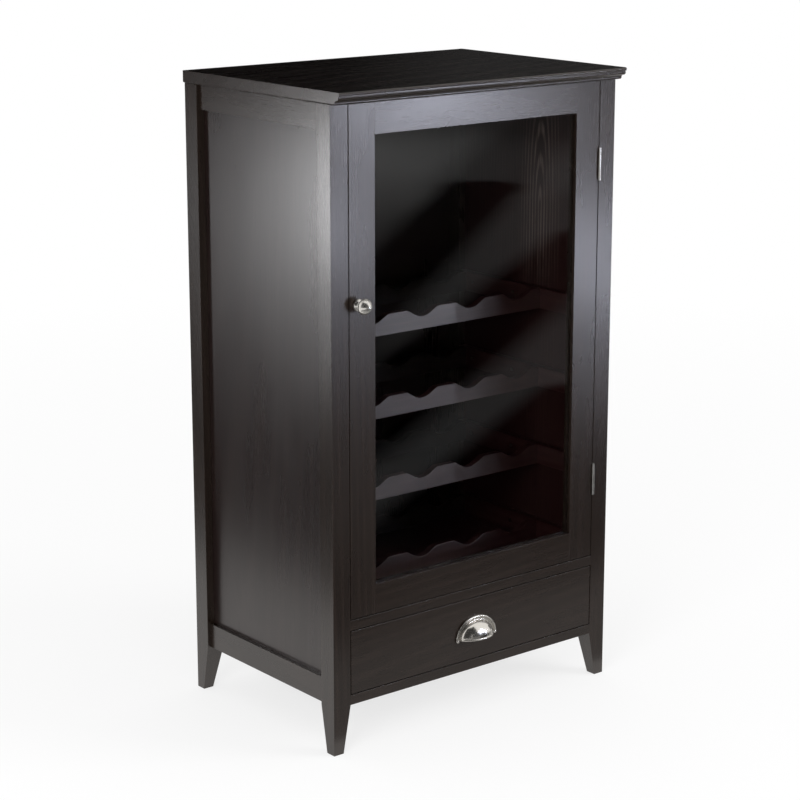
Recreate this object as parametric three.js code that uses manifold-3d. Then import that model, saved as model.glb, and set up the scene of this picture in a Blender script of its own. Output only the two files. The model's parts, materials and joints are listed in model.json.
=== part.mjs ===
// Wine cabinet: four full-height legs, framed side panels, a top board with a moulded front edge,
// one glazed door over a drawer, and four tiers of notched bottle racks inside.
// Millimetres, +X to the right, +Y to the back, +Z up. Places are first worked out from the front
// faces of the legs; the last lines move the origin to the floor under the middle of the whole.

import Module from 'manifold-3d';
import * as THREE from 'three';
import { mergeVertices } from 'three/addons/utils/BufferGeometryUtils.js';

// Overall size, over the outer faces of the legs and up to the top of the top board
const CABINET_WIDTH = 530;
const CABINET_DEPTH = 350;
const CABINET_HEIGHT = 952;

// Fits between pieces
const GLUE_LINE = 0.1;
const GROOVE_SLACK = 0.3;
const CUT_OVERRUN = 2;

// Legs: square, tapered on the two inner faces below the bottom rails
const LEG_SIDE = 30;
const FOOT_SIDE = 17;
const APRON_CLEARANCE = 71;

// Top board
const TOP_THICKNESS = 18;
const TOP_FRONT_OVERHANG = 22.5;
const TOP_SIDE_OVERHANG = 1;
const TOP_BACK_OVERHANG = 2.5;

// Moulding on the board's front edge, from the lip down, as shares of the board's thickness
const LIP_HEIGHT_SHARE = 0.29;
const QUIRK_HEIGHT_SHARE = 0.07;
const QUIRK_DEPTH_SHARE = 0.16;
const OVOLO_SETBACK_SHARE = 0.11;
const OVOLO_RADIUS_SHARE = 0.28;
const COVE_RADIUS_SHARE = 0.22;

// Side frames: rails between the legs with a thin panel in their grooves
const TOP_RAIL_HEIGHT = 37;
const BOTTOM_RAIL_HEIGHT = 38;
const SIDE_RAIL_THICKNESS = 18;
const SIDE_RAIL_RECESS = 6;
const SIDE_PANEL_RECESS = 13;
const SIDE_PANEL_THICKNESS = 5;
const PANEL_GROOVE_DEPTH = 6;

// Back: rails between the back legs, covered by a panel let into rebates of the legs
const BACK_RAIL_THICKNESS = 18;
const BACK_PANEL_THICKNESS = 4;
const BACK_REBATE_WIDTH = 10;

// Front rails, drawer opening and compartment floor
const FRONT_RAIL_HEIGHT = 15;
const DRAWER_OPENING_HEIGHT = 97.5;
const STRETCHER_HEIGHT = 18;
const STRETCHER_DEPTH = 40;
const STRETCHER_SETBACK = 2;
const FLOOR_THICKNESS = 9;
const FLOOR_DROP = 4;

// Bottle racks
const TIER_COUNT = 4;
const TIER_PITCH = 125;
const BOTTLES_PER_TIER = 5;
const RACK_RAIL_HEIGHT = 31.5;
const RACK_RAIL_THICKNESS = 12;
const RACK_CLEAT_THICKNESS = 12;
const RACK_FRONT_SETBACK = 127;
const RACK_BACK_CLEARANCE = 6;
const NOTCH_WIDTH = 58;
const NOTCH_DEPTH = 12;
const NOTCH_RADIUS_SHARE = 0.517;

// Door
const DOOR_THICKNESS = 18;
const DOOR_GAP = 1.5;
const STILE_WIDTH = 45;
const DOOR_RAIL_WIDTH = 44;
const GLASS_REBATE_WIDTH = 8;
const GLASS_LIP = 5.5;
const GLASS_THICKNESS = 3;
const BEAD_SETBACK = 1;

// Door knob, with places along its axis as shares of its projection
const KNOB_RADIUS = 11.5;
const KNOB_BASE_RADIUS = 8.8;
const KNOB_NECK_RADIUS = 5;
const KNOB_PROJECTION = 26;
const KNOB_BASE_EDGE_SHARE = 0.12;
const KNOB_BASE_END_SHARE = 0.2;
const KNOB_HEAD_START_SHARE = 0.42;
const KNOB_RIM_START_SHARE = 0.56;
const KNOB_RIM_END_SHARE = 0.64;
const KNOB_DOME_RADIUS_SHARE = 0.93;
const KNOB_EDGE_DISTANCE = 15;
const KNOB_HEIGHT_ON_DOOR = 455;

// Hinges: a leaf on the leg, a leaf on the door and a loose pin, with three knuckles
const HINGE_LENGTH = 49;
const HINGE_END_DISTANCE = 123;
const HINGE_LEAF_WIDTH = 16;
const HINGE_LEAF_SLACK = 0.1;
const HINGE_KNUCKLE_RADIUS = 2;
const HINGE_KNUCKLE_CLEARANCE = 0.3;
const HINGE_PIN_RADIUS = 1;
const HINGE_PIN_CLEARANCE = 0.1;
const HINGE_PIN_CROWN = 0.4;

// Magnetic catch under the stretcher and its plate on the door
const CATCH_LENGTH = 45;
const CATCH_DEPTH = 14;
const CATCH_HEIGHT = 12;
const CATCH_AIR_GAP = 0.5;
const CATCH_EDGE_DISTANCE = 40;
const STRIKE_LENGTH = 38;
const STRIKE_HEIGHT = 12;
const STRIKE_THICKNESS = 1;

// Drawer box: lift and drop are from the lower and the upper edge of the drawer front
const DRAWER_FRONT_THICKNESS = 18;
const DRAWER_BOARD_THICKNESS = 12;
const DRAWER_LIFT = 8;
const DRAWER_DROP = 11.5;
const DRAWER_SIDE_CLEARANCE = 7;
const DRAWER_BACK_CLEARANCE = 20;
const DRAWER_BOTTOM_THICKNESS = 4;
const DRAWER_BOTTOM_LIFT = 8;
const DRAWER_BOTTOM_GROOVE = 5;

// Wooden runners in grooves of the drawer sides
const RUNNER_HEIGHT = 12;
const RUNNER_CLEARANCE = 0.5;
const RUNNER_GROOVE_DEPTH = 6;

// Cup pull: half a hollow dome, open below, on an arched flange with a bead and two ball ends
const PULL_HALF_WIDTH = 39;
const PULL_HEIGHT = 33;
const PULL_PROJECTION = 20.5;
const PULL_FLANGE_WIDTH = 7;
const PULL_FLANGE_THICKNESS = 1.8;
const PULL_WALL = 1.8;
const PULL_RIM_RADIUS = 2;
const PULL_RING_RADIUS = 1.2;
const PULL_LIP_RADIUS = 1.5;
const PULL_BALL_RADIUS = 2.8;
const PULL_DROP = 13;

// Facets of round shapes
const ARC_SEGMENTS = 5;
const ROUND_SEGMENTS = 32;
const DOME_RINGS = 24;
const DOME_STEPS = 10;
const BEAD_SEGMENTS = 10;
const KNUCKLE_SEGMENTS = 20;

// Materials
const espressoWood = () => new THREE.MeshStandardMaterial({ color: 0x2a1e1b, roughness: 0.38, metalness: 0 });
const innerWood = () => new THREE.MeshStandardMaterial({ color: 0x2c1d19, roughness: 0.5, metalness: 0 });
const panelBoard = () => new THREE.MeshStandardMaterial({ color: 0x231a18, roughness: 0.55, metalness: 0 });
const nickel = () => new THREE.MeshStandardMaterial({ color: 0xcfc9c0, roughness: 0.2, metalness: 1 });
const catchPlastic = () => new THREE.MeshStandardMaterial({ color: 0x3a2a24, roughness: 0.6, metalness: 0 });
const clearGlass = () =>
  new THREE.MeshStandardMaterial({ color: 0xdfe6e4, roughness: 0.05, metalness: 0, transparent: true, opacity: 0.3 });

// Sides of the cabinet: the sign of X and the word in the names
const LEFT_AND_RIGHT = [
  { side: -1, word: 'left' },
  { side: 1, word: 'right' },
];

// Heights that several pieces share
const topUnderside = CABINET_HEIGHT - TOP_THICKNESS;
const bottomRailTop = APRON_CLEARANCE + BOTTOM_RAIL_HEIGHT;
const topRailBottom = topUnderside - TOP_RAIL_HEIGHT;
const drawerOpeningBottom = APRON_CLEARANCE + FRONT_RAIL_HEIGHT;
const drawerOpeningTop = drawerOpeningBottom + DRAWER_OPENING_HEIGHT;
const doorOpeningBottom = drawerOpeningTop + FRONT_RAIL_HEIGHT;
const floorTop = doorOpeningBottom - FLOOR_DROP;

// Widths and depths that several pieces share
const halfWidth = CABINET_WIDTH / 2;
const halfOpening = halfWidth - LEG_SIDE;
const backLegFront = CABINET_DEPTH - LEG_SIDE;
const backPanelFront = CABINET_DEPTH - BACK_PANEL_THICKNESS;
const backRailFront = backPanelFront - GLUE_LINE - BACK_RAIL_THICKNESS;
const sidePanelInside = halfWidth - SIDE_PANEL_RECESS - SIDE_PANEL_THICKNESS;
const cleatInside = sidePanelInside - GLUE_LINE - RACK_CLEAT_THICKNESS;

// Door and drawer front, with the same gap all round
const doorHalfWidth = halfOpening - DOOR_GAP;
const doorBottom = doorOpeningBottom + DOOR_GAP;
const doorTop = topUnderside - DOOR_GAP;
const windowHalfWidth = doorHalfWidth - STILE_WIDTH;
const windowBottom = doorBottom + DOOR_RAIL_WIDTH;
const windowTop = doorTop - DOOR_RAIL_WIDTH;
const drawerFrontBottom = drawerOpeningBottom + DOOR_GAP;
const drawerFrontTop = drawerOpeningTop - DOOR_GAP;

const wasm = await Module();
wasm.setup();

// Turns a closed geometry into a solid that can be joined and cut
function toSolid(geometry) {
  const bare = geometry.clone();
  bare.deleteAttribute('normal');
  bare.deleteAttribute('uv');
  const merged = mergeVertices(bare);
  return new wasm.Manifold(
    new wasm.Mesh({
      numProp: 3,
      vertProperties: new Float32Array(merged.attributes.position.array),
      triVerts: new Uint32Array(merged.index.array),
    }),
  );
}

// Turns a solid back into a geometry
function toGeometry(solid) {
  const mesh = solid.getMesh();
  const geometry = new THREE.BufferGeometry();
  geometry.setAttribute('position', new THREE.Float32BufferAttribute(mesh.vertProperties, mesh.numProp));
  geometry.setIndex(new THREE.Uint32BufferAttribute(mesh.triVerts, 1));
  geometry.computeVertexNormals();
  return geometry;
}

// A box between two values on each axis, given in any order
function span(xs, ys, zs) {
  const box = new THREE.Box3();
  box.expandByPoint(new THREE.Vector3(xs[0], ys[0], zs[0]));
  box.expandByPoint(new THREE.Vector3(xs[1], ys[1], zs[1]));
  return box;
}

// The same span on the left or the right side of the cabinet
function sideSpan(side, xs, ys, zs) {
  return span([side * xs[0], side * xs[1]], ys, zs);
}

function boxGeometry(box, origin) {
  const size = box.getSize(new THREE.Vector3());
  const centre = box.getCenter(new THREE.Vector3()).sub(origin);
  return new THREE.BoxGeometry(size.x, size.y, size.z).translate(centre.x, centre.y, centre.z);
}

function namedMesh(name, geometry, material, position) {
  const mesh = new THREE.Mesh(geometry, material);
  mesh.name = name;
  mesh.position.copy(position);
  return mesh;
}

// A board that fills a box, with box-shaped grooves, rebates or notches cut from it
function board(name, material, box, cuts = []) {
  const centre = box.getCenter(new THREE.Vector3());
  let geometry = boxGeometry(box, centre);
  if (cuts.length > 0) {
    let solid = toSolid(geometry);
    for (const cut of cuts) {
      solid = solid.subtract(toSolid(boxGeometry(cut, centre)));
    }
    geometry = toGeometry(solid);
  }
  return namedMesh(name, geometry, material, centre);
}

// Extrudes a flat shape drawn on two world axes, along their cross product
function extrudeOn(shape, depth, xAxis, yAxis) {
  const options = { depth, bevelEnabled: false, curveSegments: ARC_SEGMENTS };
  const basis = new THREE.Matrix4().makeBasis(xAxis, yAxis, xAxis.clone().cross(yAxis));
  return new THREE.ExtrudeGeometry(shape, options).applyMatrix4(basis);
}

const X_AXIS = new THREE.Vector3(1, 0, 0);
const Y_AXIS = new THREE.Vector3(0, 1, 0);
const Z_AXIS = new THREE.Vector3(0, 0, 1);

// One face of a leg: straight outside, tapered inside from the bottom rails down to the foot
function legOutline(inward) {
  return new THREE.Shape([
    new THREE.Vector2(0, 0),
    new THREE.Vector2(inward * FOOT_SIDE, 0),
    new THREE.Vector2(inward * LEG_SIDE, APRON_CLEARANCE),
    new THREE.Vector2(inward * LEG_SIDE, topUnderside - GLUE_LINE),
    new THREE.Vector2(0, topUnderside - GLUE_LINE),
  ]);
}

// A leg about its outer corner on the floor; inwardX and inwardY are the signs of its inner faces
function leg(name, inwardX, inwardY) {
  const corner = new THREE.Vector3(-inwardX * halfWidth, inwardY > 0 ? 0 : CABINET_DEPTH, 0);
  const acrossX = extrudeOn(legOutline(inwardX), LEG_SIDE, X_AXIS, Z_AXIS);
  acrossX.translate(0, inwardY > 0 ? LEG_SIDE : 0, 0);
  const acrossY = extrudeOn(legOutline(inwardY), LEG_SIDE, Y_AXIS, Z_AXIS);
  acrossY.translate(inwardX > 0 ? 0 : -LEG_SIDE, 0, 0);
  let solid = toSolid(acrossX).intersect(toSolid(acrossY));
  const panelGroove = span(
    [inwardX * (SIDE_PANEL_RECESS - GROOVE_SLACK), inwardX * (SIDE_PANEL_RECESS + SIDE_PANEL_THICKNESS + GROOVE_SLACK)],
    [inwardY * (LEG_SIDE - PANEL_GROOVE_DEPTH), inwardY * (LEG_SIDE + CUT_OVERRUN)],
    [bottomRailTop - PANEL_GROOVE_DEPTH, topRailBottom + PANEL_GROOVE_DEPTH],
  );
  solid = solid.subtract(toSolid(boxGeometry(panelGroove, new THREE.Vector3())));
  if (inwardY < 0) {
    const backRebate = span(
      [inwardX * (LEG_SIDE - BACK_REBATE_WIDTH), inwardX * (LEG_SIDE + CUT_OVERRUN)],
      [-BACK_PANEL_THICKNESS - GLUE_LINE, CUT_OVERRUN],
      [APRON_CLEARANCE, CABINET_HEIGHT],
    );
    solid = solid.subtract(toSolid(boxGeometry(backRebate, new THREE.Vector3())));
  }
  return namedMesh(name, toGeometry(solid), espressoWood(), corner);
}

// Section of the top board: square at the back, and at the front a round lip, a quirk, an ovolo,
// a cove and a narrow fillet that ends at the underside
function topOutline() {
  const front = -TOP_FRONT_OVERHANG;
  const back = CABINET_DEPTH + TOP_BACK_OVERHANG;
  const lip = TOP_THICKNESS * LIP_HEIGHT_SHARE;
  const quirkY = front + TOP_THICKNESS * QUIRK_DEPTH_SHARE;
  const ovoloY = front + TOP_THICKNESS * OVOLO_SETBACK_SHARE;
  const ovolo = TOP_THICKNESS * OVOLO_RADIUS_SHARE;
  const cove = TOP_THICKNESS * COVE_RADIUS_SHARE;
  const ovoloTop = TOP_THICKNESS - lip - TOP_THICKNESS * QUIRK_HEIGHT_SHARE;
  const shape = new THREE.Shape();
  shape.moveTo(back, 0);
  shape.lineTo(back, TOP_THICKNESS);
  shape.lineTo(front + lip / 2, TOP_THICKNESS);
  shape.absarc(front + lip / 2, TOP_THICKNESS - lip / 2, lip / 2, Math.PI / 2, (Math.PI * 3) / 2, false);
  shape.lineTo(quirkY, TOP_THICKNESS - lip);
  shape.lineTo(quirkY, ovoloTop);
  shape.lineTo(ovoloY, ovoloTop);
  shape.absarc(ovoloY + ovolo, ovoloTop, ovolo, Math.PI, (Math.PI * 3) / 2, false);
  shape.absarc(ovoloY + ovolo, ovoloTop - ovolo - cove, cove, Math.PI / 2, 0, true);
  shape.lineTo(ovoloY + ovolo + cove, 0);
  return shape;
}

function topPanel() {
  const length = CABINET_WIDTH + 2 * TOP_SIDE_OVERHANG;
  const geometry = extrudeOn(topOutline(), length, Y_AXIS, Z_AXIS);
  return namedMesh('top_panel', geometry, espressoWood(), new THREE.Vector3(-length / 2, 0, topUnderside));
}

// Rails and panel of one side, between the front and the back leg
function sideFrame({ side, word }) {
  const railX = [halfWidth - SIDE_RAIL_RECESS, halfWidth - SIDE_RAIL_RECESS - SIDE_RAIL_THICKNESS];
  const railY = [LEG_SIDE + GLUE_LINE, backLegFront - GLUE_LINE];
  const grooveX = [halfWidth - SIDE_PANEL_RECESS + GROOVE_SLACK, sidePanelInside - GROOVE_SLACK];
  const grooveY = [LEG_SIDE - CUT_OVERRUN, backLegFront + CUT_OVERRUN];
  const tongue = PANEL_GROOVE_DEPTH - GROOVE_SLACK;
  const topGroove = sideSpan(side, grooveX, grooveY, [
    topRailBottom - CUT_OVERRUN,
    topRailBottom + PANEL_GROOVE_DEPTH,
  ]);
  const bottomGroove = sideSpan(side, grooveX, grooveY, [
    bottomRailTop - PANEL_GROOVE_DEPTH,
    bottomRailTop + CUT_OVERRUN,
  ]);
  return [
    board(`side_panel_${word}`, panelBoard(), sideSpan(
      side,
      [halfWidth - SIDE_PANEL_RECESS, sidePanelInside],
      [LEG_SIDE - tongue, backLegFront + tongue],
      [bottomRailTop - tongue, topRailBottom + tongue],
    )),
    board(`side_top_rail_${word}`, espressoWood(), sideSpan(
      side, railX, railY, [topRailBottom, topUnderside - GLUE_LINE],
    ), [topGroove]),
    board(`side_bottom_rail_${word}`, espressoWood(), sideSpan(
      side, railX, railY, [APRON_CLEARANCE, bottomRailTop],
    ), [bottomGroove]),
  ];
}

// Back rails between the legs and the panel that covers them
function backFrame() {
  const railX = [-halfOpening + GLUE_LINE, halfOpening - GLUE_LINE];
  const railY = [backRailFront, backRailFront + BACK_RAIL_THICKNESS];
  const panelHalfWidth = halfOpening + BACK_REBATE_WIDTH - GROOVE_SLACK;
  return [
    board('back_top_rail', espressoWood(), span(railX, railY, [topRailBottom, topUnderside - GLUE_LINE])),
    board('back_bottom_rail', espressoWood(), span(railX, railY, [APRON_CLEARANCE, bottomRailTop])),
    board('back_panel', panelBoard(), span(
      [-panelHalfWidth, panelHalfWidth],
      [backPanelFront, CABINET_DEPTH],
      [APRON_CLEARANCE + GROOVE_SLACK, topUnderside - GROOVE_SLACK],
    )),
  ];
}

// Rails between the front legs
function frontRails() {
  const railX = [-halfOpening + GLUE_LINE, halfOpening - GLUE_LINE];
  const stretcherFront = DOOR_THICKNESS + STRETCHER_SETBACK;
  return [
    board('front_top_rail', innerWood(), span(
      railX,
      [stretcherFront, stretcherFront + STRETCHER_DEPTH],
      [topUnderside - GLUE_LINE - STRETCHER_HEIGHT, topUnderside - GLUE_LINE],
    )),
    board('front_middle_rail', espressoWood(), span(railX, [0, LEG_SIDE], [drawerOpeningTop, doorOpeningBottom])),
    board('front_bottom_rail', espressoWood(), span(railX, [0, LEG_SIDE], [APRON_CLEARANCE, drawerOpeningBottom])),
  ];
}

// Floor of the bottle compartment, notched at the back corners to pass between the back legs
function compartmentFloor() {
  const halfFloor = sidePanelInside - GROOVE_SLACK;
  const floorZ = [floorTop - FLOOR_THICKNESS, floorTop];
  const cutZ = [floorTop - FLOOR_THICKNESS - CUT_OVERRUN, floorTop + CUT_OVERRUN];
  const box = span([-halfFloor, halfFloor], [LEG_SIDE + GLUE_LINE, backPanelFront - GLUE_LINE], floorZ);
  const notches = LEFT_AND_RIGHT.map(({ side }) =>
    sideSpan(
      side,
      [halfOpening - GLUE_LINE, halfFloor + CUT_OVERRUN],
      [backLegFront - GLUE_LINE, CABINET_DEPTH],
      cutZ,
    ),
  );
  return board('compartment_floor', innerWood(), box, notches);
}

// Outline of a rack rail: each notch has a round bottom between two straight shoulders that
// leave the arc at a tangent and end at the rail's top edge
function rackRailOutline(length) {
  const pitch = length / BOTTLES_PER_TIER;
  const radius = NOTCH_WIDTH * NOTCH_RADIUS_SHARE;
  const centreAbove = radius - NOTCH_DEPTH;
  const shoulderReach = Math.hypot(NOTCH_WIDTH / 2, centreAbove);
  const tangent = Math.atan2(centreAbove, NOTCH_WIDTH / 2) + Math.acos(radius / shoulderReach);
  const shape = new THREE.Shape();
  shape.moveTo(0, 0);
  shape.lineTo(length, 0);
  shape.lineTo(length, RACK_RAIL_HEIGHT);
  for (let bottle = BOTTLES_PER_TIER - 1; bottle >= 0; bottle -= 1) {
    const centre = (bottle + 1 / 2) * pitch;
    shape.lineTo(centre + NOTCH_WIDTH / 2, RACK_RAIL_HEIGHT);
    shape.absarc(centre, RACK_RAIL_HEIGHT + centreAbove, radius, -tangent, tangent - Math.PI, true);
    shape.lineTo(centre - NOTCH_WIDTH / 2, RACK_RAIL_HEIGHT);
  }
  shape.lineTo(0, RACK_RAIL_HEIGHT);
  return shape;
}

// Tier 1 is the top one; the lowest tier stands on the compartment floor
function rackTier(tier) {
  const bottom = floorTop + GLUE_LINE + (TIER_COUNT - tier) * TIER_PITCH;
  const length = 2 * (cleatInside - GLUE_LINE);
  const rail = (name, backFace) => namedMesh(
    `${name}_${tier}`,
    extrudeOn(rackRailOutline(length), RACK_RAIL_THICKNESS, X_AXIS, Z_AXIS),
    innerWood(),
    new THREE.Vector3(-length / 2, backFace, bottom),
  );
  const cleats = LEFT_AND_RIGHT.map(({ side, word }) =>
    board(`rack_cleat_${word}_${tier}`, innerWood(), sideSpan(
      side,
      [cleatInside, cleatInside + RACK_CLEAT_THICKNESS],
      [LEG_SIDE + GLUE_LINE, backLegFront - GLUE_LINE],
      [bottom, bottom + RACK_RAIL_HEIGHT],
    )),
  );
  return [
    rail('rack_front_rail', RACK_FRONT_SETBACK + RACK_RAIL_THICKNESS),
    rail('rack_back_rail', backLegFront - RACK_BACK_CLEARANCE),
    ...cleats,
  ];
}

// Door frame: stiles run the full height, rails butt between them, and all four are rebated
// at the back for the glass
function doorFrame() {
  const frameY = [0, DOOR_THICKNESS];
  const rebateY = [GLASS_LIP, DOOR_THICKNESS + CUT_OVERRUN];
  const railX = [-windowHalfWidth + GLUE_LINE, windowHalfWidth - GLUE_LINE];
  const railCutX = [-windowHalfWidth - CUT_OVERRUN, windowHalfWidth + CUT_OVERRUN];
  const stiles = LEFT_AND_RIGHT.map(({ side, word }) => {
    const rebate = sideSpan(
      side,
      [windowHalfWidth - CUT_OVERRUN, windowHalfWidth + GLASS_REBATE_WIDTH],
      rebateY,
      [windowBottom - GLASS_REBATE_WIDTH, windowTop + GLASS_REBATE_WIDTH],
    );
    return board(`door_stile_${word}`, espressoWood(), sideSpan(
      side, [windowHalfWidth, doorHalfWidth], frameY, [doorBottom, doorTop],
    ), [rebate]);
  });
  const topRebate = span(railCutX, rebateY, [windowTop - CUT_OVERRUN, windowTop + GLASS_REBATE_WIDTH]);
  const bottomRebate = span(railCutX, rebateY, [windowBottom - GLASS_REBATE_WIDTH, windowBottom + CUT_OVERRUN]);
  return [
    ...stiles,
    board('door_rail_top', espressoWood(), span(railX, frameY, [windowTop, doorTop]), [topRebate]),
    board('door_rail_bottom', espressoWood(), span(railX, frameY, [doorBottom, windowBottom]), [bottomRebate]),
  ];
}

// Glass in the rebate and the four beads that hold it from behind
function doorGlazing() {
  const reach = GLASS_REBATE_WIDTH - GROOVE_SLACK;
  const glassFront = GLASS_LIP + GROOVE_SLACK;
  const beadFront = glassFront + GLASS_THICKNESS + GROOVE_SLACK;
  const beadY = [beadFront, DOOR_THICKNESS - BEAD_SETBACK];
  const outerX = windowHalfWidth + reach;
  const glass = board('door_glass', clearGlass(), span(
    [-outerX, outerX],
    [glassFront, glassFront + GLASS_THICKNESS],
    [windowBottom - reach, windowTop + reach],
  ));
  const sideBeads = LEFT_AND_RIGHT.map(({ side, word }) =>
    board(`glass_bead_${word}`, espressoWood(), sideSpan(
      side,
      [windowHalfWidth, outerX],
      beadY,
      [windowBottom + GLUE_LINE, windowTop - GLUE_LINE],
    )),
  );
  return [
    glass,
    ...sideBeads,
    board('glass_bead_top', espressoWood(), span([-outerX, outerX], beadY, [windowTop, windowTop + reach])),
    board('glass_bead_bottom', espressoWood(), span([-outerX, outerX], beadY, [windowBottom - reach, windowBottom])),
  ];
}

// Mushroom knob, turned from its base outwards: base, waisted neck, rim and domed head
function doorKnob() {
  const at = (radius, share) => new THREE.Vector2(radius, KNOB_PROJECTION * share);
  const domeRadius = KNOB_RADIUS * KNOB_DOME_RADIUS_SHARE;
  const points = [
    at(0, 0),
    at(KNOB_BASE_RADIUS, 0),
    at(KNOB_BASE_RADIUS, KNOB_BASE_EDGE_SHARE),
    at((KNOB_BASE_RADIUS + KNOB_NECK_RADIUS) / 2, KNOB_BASE_END_SHARE),
    at(KNOB_NECK_RADIUS, (KNOB_BASE_END_SHARE + KNOB_HEAD_START_SHARE) / 2),
    at((KNOB_RADIUS + KNOB_NECK_RADIUS) / 2, KNOB_HEAD_START_SHARE),
    at(KNOB_RADIUS, KNOB_RIM_START_SHARE),
    at(KNOB_RADIUS, KNOB_RIM_END_SHARE),
  ];
  for (let step = 0; step < DOME_STEPS; step += 1) {
    const angle = (step / DOME_STEPS) * (Math.PI / 2);
    const rise = (1 - KNOB_RIM_END_SHARE) * Math.sin(angle);
    points.push(at(domeRadius * Math.cos(angle), KNOB_RIM_END_SHARE + rise));
  }
  points.push(at(0, 1));
  const knob = namedMesh(
    'door_knob',
    new THREE.LatheGeometry(points, ROUND_SEGMENTS),
    nickel(),
    new THREE.Vector3(-doorHalfWidth + KNOB_EDGE_DISTANCE, -GLUE_LINE, doorBottom + KNOB_HEIGHT_ON_DOOR),
  );
  knob.rotation.x = Math.PI;
  return knob;
}

// Axis of both hinges, just in front of the gap at the door's right edge
const hingeX = halfOpening - DOOR_GAP / 2;
const hingeY = -HINGE_KNUCKLE_RADIUS - HINGE_KNUCKLE_CLEARANCE;
const hingeLeafThickness = (DOOR_GAP - 3 * HINGE_LEAF_SLACK) / 2;

function knuckle(radius, zs) {
  const height = zs[1] - zs[0];
  const geometry = new THREE.CylinderGeometry(radius, radius, height, KNUCKLE_SEGMENTS);
  return geometry.rotateX(Math.PI / 2).translate(0, 0, (zs[0] + zs[1]) / 2);
}

// A leaf about the hinge's axis and middle: a plate beside the gap, and a tongue and a knuckle
// on each given stretch of the axis; side is the sign of X on which the plate lies
function hingeLeaf(name, side, stretches, height) {
  const plateX = [side * (HINGE_LEAF_SLACK / 2), side * (HINGE_LEAF_SLACK / 2 + hingeLeafThickness)];
  const wide = HINGE_LENGTH / 2;
  const plate = span(plateX, [HINGE_LEAF_SLACK - hingeY, HINGE_LEAF_WIDTH - hingeY], [-wide, wide]);
  const origin = new THREE.Vector3();
  let solid = toSolid(boxGeometry(plate, origin));
  for (const zs of stretches) {
    const tongue = span(plateX, [0, HINGE_LEAF_WIDTH / 2 - hingeY], zs);
    solid = solid.add(toSolid(boxGeometry(tongue, origin))).add(toSolid(knuckle(HINGE_KNUCKLE_RADIUS, zs)));
  }
  const bore = knuckle(HINGE_PIN_RADIUS + HINGE_PIN_CLEARANCE, [-wide - CUT_OVERRUN, wide + CUT_OVERRUN]);
  solid = solid.subtract(toSolid(bore));
  return namedMesh(name, toGeometry(solid), nickel(), new THREE.Vector3(hingeX, hingeY, height));
}

// Three equal knuckles: the outer two on the leg, the middle one on the door
function hinge(word, height) {
  const half = HINGE_LENGTH / 2;
  const third = HINGE_LENGTH / 3;
  const middle = third / 2;
  const gap = HINGE_KNUCKLE_CLEARANCE;
  const pinPoints = [
    new THREE.Vector2(0, -half),
    new THREE.Vector2(HINGE_PIN_RADIUS - HINGE_PIN_CROWN, -half),
    new THREE.Vector2(HINGE_PIN_RADIUS, HINGE_PIN_CROWN - half),
    new THREE.Vector2(HINGE_PIN_RADIUS, half - HINGE_PIN_CROWN),
    new THREE.Vector2(HINGE_PIN_RADIUS - HINGE_PIN_CROWN, half),
    new THREE.Vector2(0, half),
  ];
  const pin = namedMesh(
    `hinge_pin_${word}`,
    new THREE.LatheGeometry(pinPoints, KNUCKLE_SEGMENTS).rotateX(Math.PI / 2),
    nickel(),
    new THREE.Vector3(hingeX, hingeY, height),
  );
  return {
    onLeg: [hingeLeaf(`hinge_frame_leaf_${word}`, 1, [[-half, -middle - gap], [middle + gap, half]], height), pin],
    onDoor: hingeLeaf(`hinge_door_leaf_${word}`, -1, [[-middle, middle]], height),
  };
}

// Catch screwed under the stretcher near the knob's side, and its strike plate on the door's back
const catchX = -halfOpening + CATCH_EDGE_DISTANCE;
const catchTop = topUnderside - GLUE_LINE - STRETCHER_HEIGHT - GLUE_LINE;

function doorCatch() {
  const front = DOOR_THICKNESS + GLUE_LINE + STRIKE_THICKNESS + CATCH_AIR_GAP;
  return board('door_catch', catchPlastic(), span(
    [catchX - CATCH_LENGTH / 2, catchX + CATCH_LENGTH / 2],
    [front, front + CATCH_DEPTH],
    [catchTop - CATCH_HEIGHT, catchTop],
  ));
}

function strikePlate() {
  const middle = catchTop - CATCH_HEIGHT / 2;
  const back = DOOR_THICKNESS + GLUE_LINE;
  return board('catch_strike_plate', nickel(), span(
    [catchX - STRIKE_LENGTH / 2, catchX + STRIKE_LENGTH / 2],
    [back, back + STRIKE_THICKNESS],
    [middle - STRIKE_HEIGHT / 2, middle + STRIKE_HEIGHT / 2],
  ));
}

// Drawer box, carried by grooves along the outside of its sides
const drawerOutside = halfOpening - DRAWER_SIDE_CLEARANCE;
const drawerBoxFront = DRAWER_FRONT_THICKNESS + GLUE_LINE;
const drawerBoxBack = backRailFront - DRAWER_BACK_CLEARANCE;
const drawerBoxBottom = drawerFrontBottom + DRAWER_LIFT;
const drawerBoxTop = drawerFrontTop - DRAWER_DROP;
const runnerMiddle = (drawerBoxBottom + drawerBoxTop) / 2;

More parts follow.
